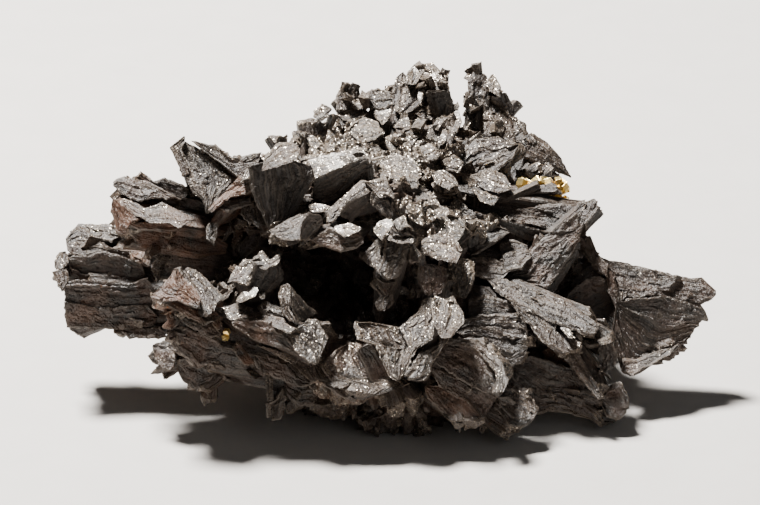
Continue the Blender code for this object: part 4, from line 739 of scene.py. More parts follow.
# How pale and how stained the ore and the chips are.
ORE_FINISH = (0.1, 0.3)
CHIP_FINISH = (0.5, 0.1)

# Where the crystals are paler on their ends or browner on their faces than their neighbours, how
# steeply their ends lean to their faces, and how thickly smaller crystals grow on them.
PLAIN_HABIT = Habit(0.5, 0.12)
REGION_HABITS = {
    "front": Habit(0.6, 0.15, shards=0.3),
    "cavity": Habit(0.65, 0.1, shards=0.3),
    "druse": Habit(1.0, 0.05, 0.5, 0.6),
    "upper_left": Habit(0.4, 0.25, shards=0.8),
    "far_left": Habit(0.35, 0.2, shards=1.1),
    "lower_left": Habit(0.2, 0.2, shards=1.1),
    "lower_right": Habit(0.5, 0.12, shards=0.5),
    "far_right": Habit(0.15, 0.25, shards=0.5),
    "peak": Habit(0.8, 0.1, 0.4, 0.6),
    "crust": Habit(0.9, 0.1, 0.4, 0.0),
}
HABITS = {
    "crown_fan": Habit(1.0, 0.3, 0.6, 0.3),
    "crown_tall": Habit(0.6, 0.1, 0.2, 0.3),
    "crown_strip": Habit(0.7, 0.8, 0.2, 0.0),
    "slab_dark": Habit(0.4, 0.0, 0.2, 0.0),
    "left_upper": Habit(0.6, 0.4, None, 1.2),
    "left_lower": Habit(0.7, 0.75, None, 1.0),
    "left_under": Habit(0.4, 0.7, None, 1.2),
    "front_spur": Habit(0.6, 0.85, None, 0.5),
    "front_spur_low": Habit(0.6, 0.8, None, 0.4),
    "front_keel": Habit(0.5, 0.45, None, 0.6),
    "cavity_fan": Habit(0.9, 0.2, 0.5, 0.3),
    "right_thorn": Habit(0.3, 0.2, 0.1, 0.0),
    "long_blade": Habit(0.2, 0.1, 0.2, 0.3),
}

# How much coarser than the plates the crystals are cut, and most of all the hidden and small ones.
PLAIN_COARSENESS = 1.25
COARSENESS = {"rear": 2.0, "crust": 1.5, "peak": 1.5, "far_left": 1.4, "far_right": 1.4}

REGIONS = (*CRYSTALS, "crust")


class SpecimenShape(bpy.types.PropertyGroup):
    """How finely the crystals are cut, and how rough they are."""

    pitch: FloatProperty(
        name="Cut pitch",
        description="Distance between the cuts across a crystal, in millimetres",
        default=0.2,
        min=0.08,
    )
    plate: FloatProperty(
        name="Facet width",
        description="Width of the flat facets that a crystal's faces are broken into, in millimetres",
        default=1.7,
        min=0.2,
    )
    plate_depth: FloatProperty(
        name="Facet relief",
        description="How far one facet of a face stands out past the next, in millimetres",
        default=0.11,
    )
    ruling: FloatProperty(
        name="Striation depth",
        description="Depth of the striations that run along the growth, in millimetres",
        default=0.045,
    )
    chunk: FloatProperty(
        name="Chunk depth",
        description="How far the broken chunks at a crystal's end fall short of its tip, in millimetres",
        default=0.3,
    )
    crack: FloatProperty(
        name="Crack depth",
        description="Depth of the cracks that open along the growth near the ends, in millimetres",
        default=0.7,
    )
    warp: FloatProperty(
        name="Warp",
        description="How far the crystals bend out of true, in millimetres",
        default=0.25,
    )
    crumble: FloatProperty(
        name="Crumble",
        description="Depth of the weathering on the crystals' ends, in millimetres",
        default=0.16,
    )
    shards: FloatProperty(
        name="Shards",
        description="How many smaller crystals grow on each square millimetre of a blade's face",
        default=0.14,
    )
    ore_relief: FloatProperty(
        name="Ore relief",
        description="Roughness of the massive ore between the crystals, in millimetres",
        default=0.9,
    )
    chips: IntProperty(
        name="Chips",
        description="Number of small broken crystals scattered over the ore and the crusts",
        default=700,
        min=0,
    )


def colour_property(name, description, code):
    return FloatVectorProperty(
        name=name, description=description, subtype="COLOR", size=3, min=0, max=1, default=srgb(code)
    )


def srgb(code):
    """A hex colour such as 4b4541 as three linear shares of light."""
    shares = [int(code[i : i + 2], 16) / 255 for i in (0, 2, 4)]
    return tuple(s / 12.92 if s <= 0.04045 else ((s + 0.055) / 1.055) ** 2.4 for s in shares)


class SpecimenFinish(bpy.types.PropertyGroup):
    """The colours of the specimen and of what it stands on."""

    body: colour_property("Enargite", "Fresh, dark faces of the crystals", "1e1a17")
    worn: colour_property("Worn enargite", "Rubbed ridges and striations", "4c4238")
    pale: colour_property("Drusy enargite", "Fine-grained ends of the crystals", "887764")
    # Near white, mixed into the palest plates: a painted highlight where their faces flash in the light.
    painted_flash: colour_property("Fresh break", "The few faces that flash white", "f2ece4")
    lustre: colour_property("Lustre", "Tiny facets that reflect like metal", "c4b8a8")
    stain: colour_property("Iron stain", "Brown film on weathered faces", "5a3d2c")
    rust: colour_property("Rust", "Orange specks in the hollows", "8a4f1d")
    pyrite: colour_property("Pyrite", "Brassy grains", "f0d690")
    floor: colour_property("Floor", "The surface under the specimen", "cbc7c2")


def leaned(points):
    """Layout points, in mm, as places in the part's own frame, in metres."""
    turn = np.array(Matrix.Rotation(-LEAN, 3, "X"))
    return (np.asarray(points, dtype=float) @ turn.T - (*CENTRE, FLOOR)) * MM


def read_points(mesh):
    flat = np.empty(len(mesh.vertices) * 3)
    mesh.vertices.foreach_get("co", flat)
    return flat.reshape(-1, 3)


def write_points(mesh, points):
    mesh.vertices.foreach_set("co", np.ascontiguousarray(points, dtype=float).ravel())
    mesh.update()


def write_attribute(mesh, name, values):
    """Keeps one vector for each vertex, for the materials."""
    attribute = mesh.attributes.new(name, "FLOAT_VECTOR", "POINT")
    attribute.data.foreach_set("vector", np.ascontiguousarray(values, dtype=np.float32).ravel())


def write_finish(mesh, pale, stain):
    """Keeps how pale and how stained each vertex is."""
    finish = np.zeros((len(mesh.vertices), 3))
    finish[:, 0], finish[:, 1] = pale, stain
    write_attribute(mesh, "finish", finish)


def select_edges(mesh, chosen):
    """Selects in edit mode the edges that the test picks, and nothing else."""
    bpy.ops.mesh.select_mode(type="EDGE")
    bpy.ops.mesh.select_all(action="DESELECT")
    bm = bmesh.from_edit_mesh(mesh)
    for edge in bm.edges:
        edge.select_set(chosen(edge))
    bmesh.update_edit_mesh(mesh)


@cache
def cut_block(cuts):
    """A block one unit wide, cut into columns, rows and layers. Every size is cut once, for copying."""
    bpy.ops.object.select_all(action="DESELECT")
    bpy.ops.mesh.primitive_cube_add(size=1.0)
    block = bpy.context.object
    bpy.ops.object.mode_set(mode="EDIT")
    for axis, number in enumerate(cuts):
        select_edges(block.data, lambda e: abs(e.verts[0].co[axis] - e.verts[1].co[axis]) > TINY)
        bpy.ops.mesh.subdivide(number_cuts=number - 1)
    bpy.ops.object.mode_set(mode="OBJECT")
    mesh = block.data
    bpy.data.objects.remove(block)
    return mesh


def shared_cuts(*spans):
    """How many cuts each span needs, in fours so that blocks can be shared."""
    return tuple(int(min(MOST_CUTS, max(4, math.ceil(span / 4) * 4))) for span in spans)


def block_cuts(crystal, pitch):
    """How many columns, rows and layers a crystal needs."""
    reach = (Vector(crystal.tip) - Vector(crystal.root)).length
    rows, layers = reach / pitch / ROW_PITCH, max(crystal.depths) / pitch / LAYER_PITCH
    return shared_cuts(max(crystal.widths) / pitch, rows, layers)


def blade_axes(blade):
    """The blade's width, length and face directions in the layout."""
    length = (Vector(blade.tip) - Vector(blade.root)).normalized()
    width = length.cross(TOWARDS_VIEWER)
    if width.length < NEARLY_PARALLEL:
        width = length.cross(Vector((0, 0, 1)))
    width.normalize()
    width = Matrix.Rotation(math.radians(blade.roll), 3, length) @ width
    return width, length, width.cross(length)


def facets(draws, places, sizes, tilt):
    """An uneven value for each place, in flat facets of those sizes. Each has its own level and tilt."""
    scaled = places / sizes
    low, high = scaled.min(axis=0), scaled.max(axis=0)
    count = 2 + int(np.prod(high - low + 0.3))
    seeds = draws.uniform(low, high, (count, len(sizes)))
    tree = KDTree(count)
    for number, seed in enumerate(seeds):
        tree.insert((*seed, 0)[:3], number)
    tree.balance()
    near = np.array([tree.find((*place, 0)[:3])[1] for place in scaled])
    levels = draws.uniform(-1, 1, count)
    slopes = draws.uniform(-tilt, tilt, seeds.shape)
    return levels[near] + ((scaled - seeds[near]) * slopes[near]).sum(axis=1)


def levels_at(levels, place, pitch, start=0):
    """A value for each place, from levels that are set that far apart."""
    return np.interp(place / pitch + start, np.arange(len(levels)), levels)


def noise_at(places, size, seed=0.0):
    """A smooth, uneven direction at each place, whose lumps are about that size."""
    return np.array([noise.noise_vector(Vector(p) / size + Vector((seed, 0, 0))) for p in places])


def broken_section(draws, u, w):
    """A crystal's section, as shares of its width and depth, with its corners broken off."""
    for quarter in range(4):
        angle = math.tau * (quarter + draws.uniform(0.3, 0.7)) / 4
        across, facing = math.cos(angle), math.sin(angle)
        kept = 0.5 * (abs(across) + abs(facing)) * draws.uniform(*CORNERS_KEPT)
        over = np.maximum(u * across + w * facing - kept, 0)
        u, w = u - over * across, w - over * facing
    return u, w


def broken_end(draws, across, facing, lean, reach):
    """How far a crystal's end falls short of its tip: it leans to its face, and its corners are gone."""
    width = np.ptp(across)
    fall = lean * (facing - facing.min())
    for side in (-1, 1):
        steep = draws.uniform(*CORNER_STEEPNESS) * min(1.0, 0.5 * reach / width)
        skew = draws.uniform(-CORNER_SKEW, CORNER_SKEW)
        start = width * draws.uniform(*CORNER_START)
        fall = np.maximum(fall, steep * (side * across - start) + skew * facing)
    return fall


def crystal_object(crystal, shape, habit, pitch):
    """One crystal: a block drawn out to its wedge, broken along flat planes and weathered."""
    rng = random.Random(crystal.name)
    across, along, facing = blade_axes(crystal)
    reach = (Vector(crystal.tip) - Vector(crystal.root)).length
    columns = np.arange(crystal.columns + 1)
    steps = [rng.uniform(-TIP_STEP, TIP_STEP) * reach for _ in columns]
    front = [rng.uniform(*FACE_RELIEF) for _ in columns]
    back = [rng.uniform(*FACE_RELIEF) for _ in columns]
    draws = np.random.default_rng(rng.getrandbits(32))

    mesh = cut_block(block_cuts(crystal, pitch)).copy()
    u, v, w = read_points(mesh).T
    on_side = (np.abs(u) > OUTSIDE) * np.sign(u)
    on_face = (np.abs(w) > OUTSIDE) * np.sign(w)
    share = 1 - (0.5 - v) ** ROW_STRETCH
    column = (u + 0.5) * crystal.columns
    rim = crystal.slant * u + crystal.bulge * (1.0 - 4.0 * u**2)
    u, w = broken_section(draws, u, w)
    pointed = np.minimum(1.0, ROOT_SHARE + ROOT_WIDENING * share)
    width = (crystal.widths[0] + (crystal.widths[1] - crystal.widths[0]) * share) * pointed
    depth = (crystal.depths[0] + (crystal.depths[1] - crystal.depths[0]) * share) * pointed
    near = -0.5 - np.interp(column, columns, back) * share
    far = 0.5 + np.interp(column, columns, front) * share
    side = near + (far - near) * (w + 0.5)

    # The growth radiates with the wedge, so it is cut by shares of the tip's width and depth.
    grain = np.stack([u * crystal.widths[1], share * reach, w * crystal.depths[1]], axis=1)
    cut = grain + noise_at(grain, 1.2, draws.uniform(0, 99)) * WANDER
    flakes = facets(draws, cut, (shape.plate, shape.plate * LATH_LENGTH, shape.plate), 0.5)
    rules = draws.uniform(-1, 1, (2, RULES))
    ruled = levels_at(rules[0], grain[:, 0], RULING_PITCH, RULES_MIDDLE)
    ruled += levels_at(rules[1], grain[:, 2], RULING_PITCH, RULES_MIDDLE)
    split = np.zeros_like(u)
    for _ in range(round(crystal.widths[1] / CRACK_SPACING)):
        line = draws.uniform(-0.4, 0.4) * crystal.widths[1]
        start = draws.uniform(0.4, 0.8)
        opening = np.clip((share - start) / (1 - start), 0, 1)
        split = np.maximum(split, opening * np.exp(-(((cut[:, 0] - line) / CRACK_WIDTH) ** 2)))

    lean = draws.uniform(*END_LEAN) if habit.lean is None else habit.lean
    ragged = shape.chunk * draws.uniform(*END_RAGGEDNESS)
    fall = broken_end(draws, grain[:, 0], grain[:, 2], lean, reach)
    fall += ragged * np.clip(facets(draws, cut[:, [0, 2]], CHUNKS, 1.4), -0.3, 1.2)
    fall += 0.35 * ragged * facets(draws, cut[:, [0, 2]], CRUMBS, 1.2)
    fall += shape.crack * 1.2 * split
    out = reach * share + (np.interp(column, columns, steps) + rim) * share**2
    out -= np.minimum(fall, LONGEST_FALL * reach) * share**3

    end = np.clip(1 - (1 - share) * reach / END_LENGTH, 0, 1)
    relief = shape.ruling * ruled + shape.plate_depth * flakes - shape.crack * split
    relief *= 0.3 + 0.7 * share
    twist = math.radians(draws.uniform(-TWIST, TWIST)) * (share - 0.5)
    over, out_of = width * u + relief * on_side, depth * side + relief * on_face
    sine, cosine = np.sin(twist), np.cos(twist)
    over, out_of = over * cosine - out_of * sine, over * sine + out_of * cosine
    spot = crystal.root + np.outer(over, across) + np.outer(out, along) + np.outer(out_of, facing)
    spot += noise_at(spot, BENDS) * shape.warp
    spot += noise_at(spot, LUMPINESS) * (shape.crumble * (0.3 + 0.5 * end))[:, None]
    spot += noise_at(spot, PITTING) * (shape.crumble * (0.15 + 0.6 * end))[:, None]
    write_points(mesh, leaned(spot))

    write_attribute(mesh, "grain", grain + draws.uniform(0, 400, 3))
    write_finish(mesh, end * habit.pale, habit.stain)
    return bpy.data.objects.new(crystal.name, mesh)


@cache
def solid_surface():
    """The solid cluster's surface, for rays to meet."""
    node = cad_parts["enargite_cluster"].data
    return BVHTree.FromPolygons(read_points(node).tolist(), [face.vertices[:] for face in node.polygons])


def solid_behind(outline):
    """How far back the solid's surface stands behind an outline, in mm, as the camera sees them."""
    eye = Vector(leaned(CAMERA_TARGET)) - VIEW * CAMERA_DISTANCE
    heights = np.linspace(outline[:, 1].min(), outline[:, 1].max(), RAYS[1])[1:-1]
    found = []
    for up, left, right in zip(heights, *section(outline, heights)):
        for over in np.linspace(left, right, RAYS[0])[1:-1]:
            aim = Vector(leaned((over, CAMERA_TARGET[1], up)))
            hit = solid_surface().ray_cast(eye, aim - eye)[0]
            if hit:
                found.append((hit - eye).dot(VIEW) / MM - CAMERA_DISTANCE / MM + CAMERA_TARGET[1])
    return np.percentile(found, SOLID_PERCENTILE) if found else NO_SOLID


def section(outline, heights):
    """The left and right edges of an outline at each height."""
    lefts, rights = np.full(len(heights), np.inf), np.full(len(heights), -np.inf)
    for start, end in zip(outline, np.roll(outline, -1, axis=0)):
        (x0, y0), (x1, y1) = sorted((tuple(start), tuple(end)), key=lambda point: point[1])
        crossed = (heights >= y0) & (heights <= y1) & (y1 > y0)
        x = x0 + (x1 - x0) * (heights - y0) / max(y1 - y0, TINY)
        lefts = np.where(crossed, np.minimum(lefts, x), lefts)
        rights = np.where(crossed, np.maximum(rights, x), rights)
    return lefts, rights


def slab_object(slab, shape):
    """One broken plate on the display side: a block cut to its outline, with a flat, leaning face."""
    draws = np.random.default_rng(random.Random(slab.name).getrandbits(32))
    outline = np.array(slab.outline, dtype=float)
    back = solid_behind(outline) - slab.nearer
    turn = math.radians(slab.turn)
    turned = np.array([[math.cos(turn), -math.sin(turn)], [math.sin(turn), math.cos(turn)]])
    outline = outline @ turned.T * (1 + (back - CAMERA_TARGET[1]) * MM / CAMERA_DISTANCE)
    low, high = outline[:, 1].min() + PLATE_INSET, outline[:, 1].max() - PLATE_INSET
    lefts, rights = section(outline, np.linspace(low, high, OUTLINE_STEPS))
    broadest = (rights - lefts).max()
    rows, layers = (high - low) / shape.pitch, slab.depth / shape.pitch / PLATE_LAYER_PITCH
    mesh = cut_block(shared_cuts(broadest / shape.pitch, rows, layers)).copy()
    u, v, w = read_points(mesh).T

    # The block's edges follow the outline, with notches.
    along = low + (v + 0.5) * (high - low)
    left, right = section(outline, along)
    grown = np.minimum(PLATE_GROWN[0], PLATE_GROWN[1] * (right - left))
    notches = PLATE_RAGGED * draws.uniform(-1, 1, (3, PLATE_NOTCHES)) ** 3
    left += levels_at(notches[0], along - low, PLATE_NOTCH) - grown
    right += levels_at(notches[1], along - low, PLATE_NOTCH) + grown
    across = left + (u + 0.5) * np.maximum(right - left, PLATE_NARROWEST)
    fingers = levels_at(notches[2], across - left.min(), PLATE_NOTCH)
    along = along + (2 * np.abs(v)) ** 3 * PLATE_FINGERS * fingers
    rim = np.minimum((0.5 - np.abs(u)) * (right - left), (0.5 - np.abs(v)) * (high - low))
    bevel = np.clip(PLATE_BEVEL - rim, 0, None)

    # The face is broken into long laths and short chips, and ruled along its growth.
    grain = np.stack([u * broadest, along, w * slab.depth], axis=1)
    relief = 0.7 * shape.plate_depth * facets(draws, grain[:, :2], PLATE_LATHS, 2.0)
    rules = draws.uniform(-1, 1, (2, RULES))
    relief += 0.7 * shape.ruling * levels_at(rules[0], grain[:, 0], PLATE_RULING, RULES_MIDDLE)
    relief += shape.ruling * levels_at(rules[1], grain[:, 0], PLATE_RIBS, RULES_MIDDLE)
    relief += 0.5 * shape.plate_depth * facets(draws, grain[:, :2], PLATE_CHIPS, 1.4)

    taper = PLATE_TAPER + (1 - PLATE_TAPER) * (w + 0.5)
    across = np.median(across) + (across - np.median(across)) * taper
    along = np.median(along) + (along - np.median(along)) * taper
    over = across * math.cos(turn) + along * math.sin(turn)
    up = along * math.cos(turn) - across * math.sin(turn)
    deep = slab.lean[0] * (over - np.median(over)) + slab.lean[1] * (up - np.median(up))
    deep += back + (0.5 - w) * slab.depth + np.where(w > OUTSIDE, bevel - relief, 0)
    spot = np.stack([over, deep, up], axis=1)
    spot += noise_at(spot, PITTING) * shape.crumble * (0.08 + 0.2 * slab.pale)
    write_points(mesh, leaned(spot))
    write_attribute(mesh, "grain", grain + draws.uniform(0, 400, 3))

    # The paleness share, worn below, grows towards each plate's top. This is partly its drusy growth end and
    # partly painted top light.
    foot, painted_top_light, patchy = PLATE_PALE_AND_TOP_LIGHT
    height = (up - up.min()) / np.ptp(up)
    worn = foot + painted_top_light * height + patchy * facets(draws, grain[:, :2], PLATE_PATCHES, 1.0)
    fade = PLATE_FADE + (1 - PLATE_FADE) * (w + 0.5)
    write_finish(mesh, slab.pale * np.clip(worn, *PLATE_PALEST) * fade, slab.stain)
    return bpy.data.objects.new(slab.name, mesh)


def bundle(blade, shape, habit):
    """A blade with the smaller fans that grow out of its faces, ever wider and closer to its tip."""
    rng = random.Random(f"{blade.name} shards")
    across, along, facing = blade_axes(blade)
    root, tip = Vector(blade.root), Vector(blade.tip)
    reach = (tip - root).length
    found = [blade]
    count = round(max(blade.widths) * reach * shape.shards * habit.shards)
    for number in range(count):
        share = rng.uniform(*SHARD_PLACES)
        side = rng.choice((-1, 1))
        u, w = rng.uniform(-0.5, 0.5), side * rng.uniform(0.3, 0.55)
        if rng.random() < ON_EDGE:
            u, w = side * rng.uniform(0.4, 0.55), rng.uniform(-0.5, 0.5)
        width = blade.widths[0] + (blade.widths[1] - blade.widths[0]) * share
        depth = blade.depths[0] + (blade.depths[1] - blade.depths[0]) * share
        high = root + across * u * width + facing * w * depth + along * reach * share
        splay = across * (u + rng.uniform(-0.3, 0.3)) + facing * (0.7 * w + rng.uniform(-0.2, 0.2))
        heading = (along + splay).normalized()
        length = min(rng.uniform(*SHARD_LENGTHS), SHARD_LARGEST * reach)
        size = min(rng.uniform(*SHARD_WIDTHS), SHARD_LARGEST * max(blade.widths))
        thick = size * rng.uniform(*SHARD_DEPTHS)
        found.append(
            Blade(
                name=f"{blade.name}_{number}",
                root=tuple(high - heading * length * SHARD_SUNK),
                tip=tuple(high + heading * length * (1 - SHARD_SUNK)),
                widths=(size * rng.uniform(*SHARD_ROOTS), size),
                depths=(thick * rng.uniform(*SHARD_BACKS), thick),
                roll=blade.roll + rng.uniform(-SHARD_ROLL, SHARD_ROLL),
                slant=rng.uniform(-SHARD_SLANT, SHARD_SLANT) * size,
                bulge=rng.uniform(*SHARD_BULGE) * size,
                columns=2,
            )
        )
    return found


def crust_blades(crust):
    """The strip's small crystals, as blades."""
    rng = random.Random(crust.name)
    start, end, aim = Vector(crust.start), Vector(crust.end), Vector(crust.aim).normalized()
    found = []
    for number in range(crust.count):
        share = rng.random()
        offset = Vector([rng.uniform(-1, 1) * crust.spread for _ in range(3)])
        offset -= aim * offset.dot(aim) * CRUST_FLATNESS
        splay = Vector([rng.uniform(-CRUST_SPLAY, CRUST_SPLAY) for _ in range(3)])
        heading = (aim + splay).normalized()
        middle = start.lerp(end, share) + offset
        length = crust.length * rng.uniform(*CRUST_LENGTHS)
        width = crust.width * rng.uniform(*CRUST_WIDTHS)
        depth = width * rng.uniform(*CRUST_DEPTHS)
        found.append(
            Blade(
                name=f"{crust.name}_{number}",
                root=tuple(middle - heading * length * CRUST_SUNK[0]),
                tip=tuple(middle + heading * length * CRUST_SUNK[1]),
                widths=(width * CRUST_ROOT, width),
                depths=(depth * CRUST_ROOT, depth),
                roll=rng.uniform(-CRUST_ROLL, CRUST_ROLL),
                slant=rng.uniform(-CRUST_SLANT, CRUST_SLANT) * width,
                bulge=0.0,
                columns=1,
            )
        )
    return found


def grown_together(name, parts):
    """Joins closed crystals that grow through each other into one piece."""
    bpy.ops.object.select_all(action="DESELECT")
    for part in parts:
        bpy.context.scene.collection.objects.link(part)
        part.select_set(True)
    bpy.context.view_layer.objects.active = parts[0]
    bpy.ops.object.join()
    parts[0].name = parts[0].data.name = name
    return parts[0]


def finish_piece(piece, slot, material, *nodes):
    """Keeps the piece in the solids' box and flat on its underside, and gives it its material,
    its body and what it replaces."""
    low, high = (np.array(corner) for corner in CAD_BOX)
    write_points(piece.data, np.clip(read_points(piece.data), low, high))
    piece.data.materials.clear()
    piece.data.materials.append(material)
    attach(piece, "root")
    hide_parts(*nodes)
    return piece


def add_node(tree, kind, settings, inputs):
    """Adds a node with its settings. An input is a value, or another node's socket to link to."""
    node = tree.nodes.new(kind)
    for name, value in settings.items():
        setattr(node, name, value)
    for name, value in inputs.items():
        socket = node.inputs[name]
        if isinstance(value, bpy.types.NodeSocket):
            tree.links.new(value, socket)
        else:
            socket.default_value = value
    return node


def new_material(name):
    """An empty material, with its tree and its shader."""
    material = bpy.data.materials.new(name)
    material.use_nodes = True
    return material, material.node_tree, material.node_tree.nodes["Principled BSDF"]


def mixed(tree, share, first, second):
    """Two colours mixed by a share."""
    settings = {"data_type": "RGBA", "clamp_factor": True}
    return add_node(tree, "ShaderNodeMix", settings, {0: share, 6: first, 7: second}).outputs[2]


def spread(tree, value, low, high, to_low=0.0, to_high=1.0):
    """A value stretched from one range to another, and kept in it."""
    inputs = {"Value": value, 1: low, 2: high, 3: to_low, 4: to_high}
    return add_node(tree, "ShaderNodeMapRange", {"clamp": True}, inputs).outputs[0]


def times(tree, first, second):
    """One value multiplied by another."""
    return add_node(tree, "ShaderNodeMath", {"operation": "MULTIPLY"}, {0: first, 1: second}).outputs[0]


def streaks(tree, grain, across, along, deep, detail):
    """Uneven streaks that run with the growth, of those sizes in millimetres."""
    scale = (1 / across, 1 / along, 1 / deep)
    stretched = add_node(tree, "ShaderNodeMapping", {}, {"Vector": grain, "Scale": scale})
    inputs = {"Vector": stretched.outputs[0], "Scale": 1.0, "Detail": detail, "Roughness": 0.6}
    return add_node(tree, "ShaderNodeTexNoise", {}, inputs).outputs["Fac"]


def mottle(tree, place, size, detail):
    """Uneven patches of a size in millimetres, on a place in metres."""
    inputs = {"Vector": place, "Scale": 1 / (size * MM), "Detail": detail, "Roughness": 0.6}
    return add_node(tree, "ShaderNodeTexNoise", {}, inputs).outputs["Fac"]


def facet_cells(tree, place, scale):
    """Small facets at random: a lean for each one's normal, and a number drawn for it."""
    cells = add_node(tree, "ShaderNodeTexVoronoi", {"feature": "F1"}, {"Vector": place, "Scale": scale})
    inputs = {0: cells.outputs["Color"], 1: (0.5, 0.5, 0.5)}
    lean = add_node(tree, "ShaderNodeVectorMath", {"operation": "SUBTRACT"}, inputs).outputs[0]
    drawn = add_node(tree, "ShaderNodeSeparateXYZ", {}, {0: cells.outputs["Color"]}).outputs["Z"]
    return lean, drawn


def scaled(tree, vector, strength):
    """A vector made longer or shorter."""
    inputs = {0: vector, "Scale": strength}
    return add_node(tree, "ShaderNodeVectorMath", {"operation": "SCALE"}, inputs).outputs[0]


def added(tree, first, second):
    """Two vectors added up."""
    inputs = {0: first, 1: second}
    return add_node(tree, "ShaderNodeVectorMath", {"operation": "ADD"}, inputs).outputs[0]


LUSTRE_FACET = 0.12  # millimetres; real ones are finer, but finer ones wouldn't show
LUSTRE_ON_ENDS = 0.16  # how much larger a share of the facets reflects on the ends
GROOVE_DEPTH = 0.07  # millimetres
GRIT_DEPTH = 0.08  # millimetres
LATHS = (4.5, 0.45, 3.6)  # laths to a millimetre across, along and into the growth
LATH_LEAN = 0.35


def enargite_material(finish):
    """Enargite: an opaque copper arsenic sulphide, metallic to dull, grown and never polished.

    To the eye: near-black faces ruled with fine striations along the growth, rubbed grey on their
    ridges. The ends are a grit of tiny crystal faces, paler and full of glints. Brown iron stain
    lies on the weathered faces, with orange specks in the hollows. Upward faces and the tops of the
    plates are paler, partly from dust and drusy ends and partly as painted top light. The palest
    plates are painted near white, as highlights.
    """
    material, tree, shader = new_material("enargite_striated")
    place = add_node(tree, "ShaderNodeTexCoord", {}, {}).outputs["Object"]
    grain = add_node(tree, "ShaderNodeAttribute", {"attribute_name": "grain"}, {}).outputs["Vector"]
    kept = add_node(tree, "ShaderNodeAttribute", {"attribute_name": "finish"}, {}).outputs["Vector"]
    end, stain = add_node(tree, "ShaderNodeSeparateXYZ", {}, {0: kept}).outputs[:2]
    surface = add_node(tree, "ShaderNodeNewGeometry", {}, {}).outputs
    ridge = surface["Pointiness"]
    upward = add_node(tree, "ShaderNodeSeparateXYZ", {}, {0: surface["Normal"]}).outputs["Z"]

    fine = streaks(tree, grain, 0.16, 3.0, 0.2, 3.0)
    broad = streaks(tree, grain, 1.6, 5.0, 1.6, 4.0)
    grit = mottle(tree, place, 0.13, 2.0)
    patch = mottle(tree, place, 2.6, 3.0)

    ruled = times(tree, spread(tree, fine, 0.42, 0.62), spread(tree, broad, 0.35, 0.65, 0.1, 0.9))
    colour = mixed(tree, ruled, (*finish.body, 1), (*finish.worn, 1))
    film = times(tree, spread(tree, patch, 0.38, 0.62), spread(tree, stain, 0.0, 1.0, 0.0, 1.4))
    colour = mixed(tree, film, colour, (*finish.stain, 1))
    rubbed = times(tree, spread(tree, ridge, 0.505, 0.56), spread(tree, grit, 0.35, 0.6, 0.2, 0.8))
    colour = mixed(tree, rubbed, colour, (*finish.worn, 1))
    # Upward faces are mixed towards the pale colour. This is partly a real dusting of fine crystals and
    # partly painted top light, where the lamp above falls.
    dust_and_top_light = times(tree, spread(tree, upward, 0.55, 1.0), spread(tree, patch, 0.4, 0.62, 0.0, 0.35))
    drusy_and_top_light = add_node(tree, "ShaderNodeMath", {"operation": "MAXIMUM"}, {0: end, 1: dust_and_top_light}).outputs[0]
    drusy_and_top_light = times(tree, drusy_and_top_light, spread(tree, grit, 0.42, 0.6, 0.1, 1.0))
    drusy_and_top_light = times(tree, drusy_and_top_light, spread(tree, fine, 0.42, 0.6, 0.1, 1.0))
    colour = mixed(tree, drusy_and_top_light, colour, (*finish.pale, 1))
    # Plates paler than 1.15 turn near white: a painted highlight for faces that flash in the light.
    broken = times(tree, spread(tree, end, 1.15, 1.4), spread(tree, grit, 0.4, 0.6, 0.2, 0.9))
    colour = mixed(tree, broken, colour, (*finish.painted_flash, 1))
    speck = times(tree, spread(tree, mottle(tree, place, 1.1, 4.0), 0.68, 0.74), stain)
    colour = mixed(tree, speck, colour, (*finish.rust, 1))

    # The lustre: some facets of the grit, more of them on the ends, reflect like metal.
    grit_lean, drawn = facet_cells(tree, place, 1 / (LUSTRE_FACET * MM))
    inputs = {0: end, 1: LUSTRE_ON_ENDS, 2: drawn}
    drawn = add_node(tree, "ShaderNodeMath", {"operation": "MULTIPLY_ADD"}, inputs).outputs[0]
    glint = spread(tree, drawn, 0.995, 1.05)
    colour = mixed(tree, glint, colour, (*finish.lustre, 1))
    tree.links.new(colour, shader.inputs["Base Color"])
    tree.links.new(glint, shader.inputs["Metallic"])
    tree.links.new(spread(tree, glint, 0.0, 1.0, 0.45, 0.26), shader.inputs["Roughness"])

    inputs = {"Height": fine, "Distance": GROOVE_DEPTH * MM}
    grooves = add_node(tree, "ShaderNodeBump", {}, inputs).outputs[0]
    inputs = {"Height": grit, "Distance": GRIT_DEPTH * MM, "Normal": grooves}
    gritty = add_node(tree, "ShaderNodeBump", {}, inputs).outputs[0]
    laths = add_node(tree, "ShaderNodeMapping", {}, {"Vector": grain, "Scale": LATHS}).outputs[0]
    lath_lean = scaled(tree, facet_cells(tree, laths, 1.0)[0], LATH_LEAN)
    grit_lean = scaled(tree, grit_lean, spread(tree, glint, 0.0, 1.0, 0.5, 1.3))
    turned = added(tree, added(tree, lath_lean, grit_lean), gritty)
    normal = add_node(tree, "ShaderNodeVectorMath", {"operation": "NORMALIZE"}, {0: turned})
    tree.links.new(normal.outputs[0], shader.inputs["Normal"])
    return material


def pyrite_material(finish):
    """Pyrite: a natural iron sulphide, in bright brassy crystals that grew smooth.

    To the eye: pale gold that flashes on each face, faintly ruled, with a browner tarnish in patches.
    """
    material, tree, shader = new_material("pyrite_brassy")
    place = add_node(tree, "ShaderNodeTexCoord", {}, {}).outputs["Object"]
    tarnish = spread(tree, mottle(tree, place, 0.8, 3.0), 0.45, 0.7)
    colour = mixed(tree, tarnish, (*finish.pyrite, 1), (*srgb("c39a4a"), 1))
    tree.links.new(colour, shader.inputs["Base Color"])
    tree.links.new(spread(tree, tarnish, 0.0, 1.0, 0.3, 0.42), shader.inputs["Roughness"])
    shader.inputs["Metallic"].default_value = 1.0
    inputs = {"Height": mottle(tree, place, 0.2, 2.0), "Distance": 0.03 * MM}
    uneven = add_node(tree, "ShaderNodeBump", {}, inputs).outputs[0]
    tree.links.new(uneven, shader.inputs["Normal"])
    return material


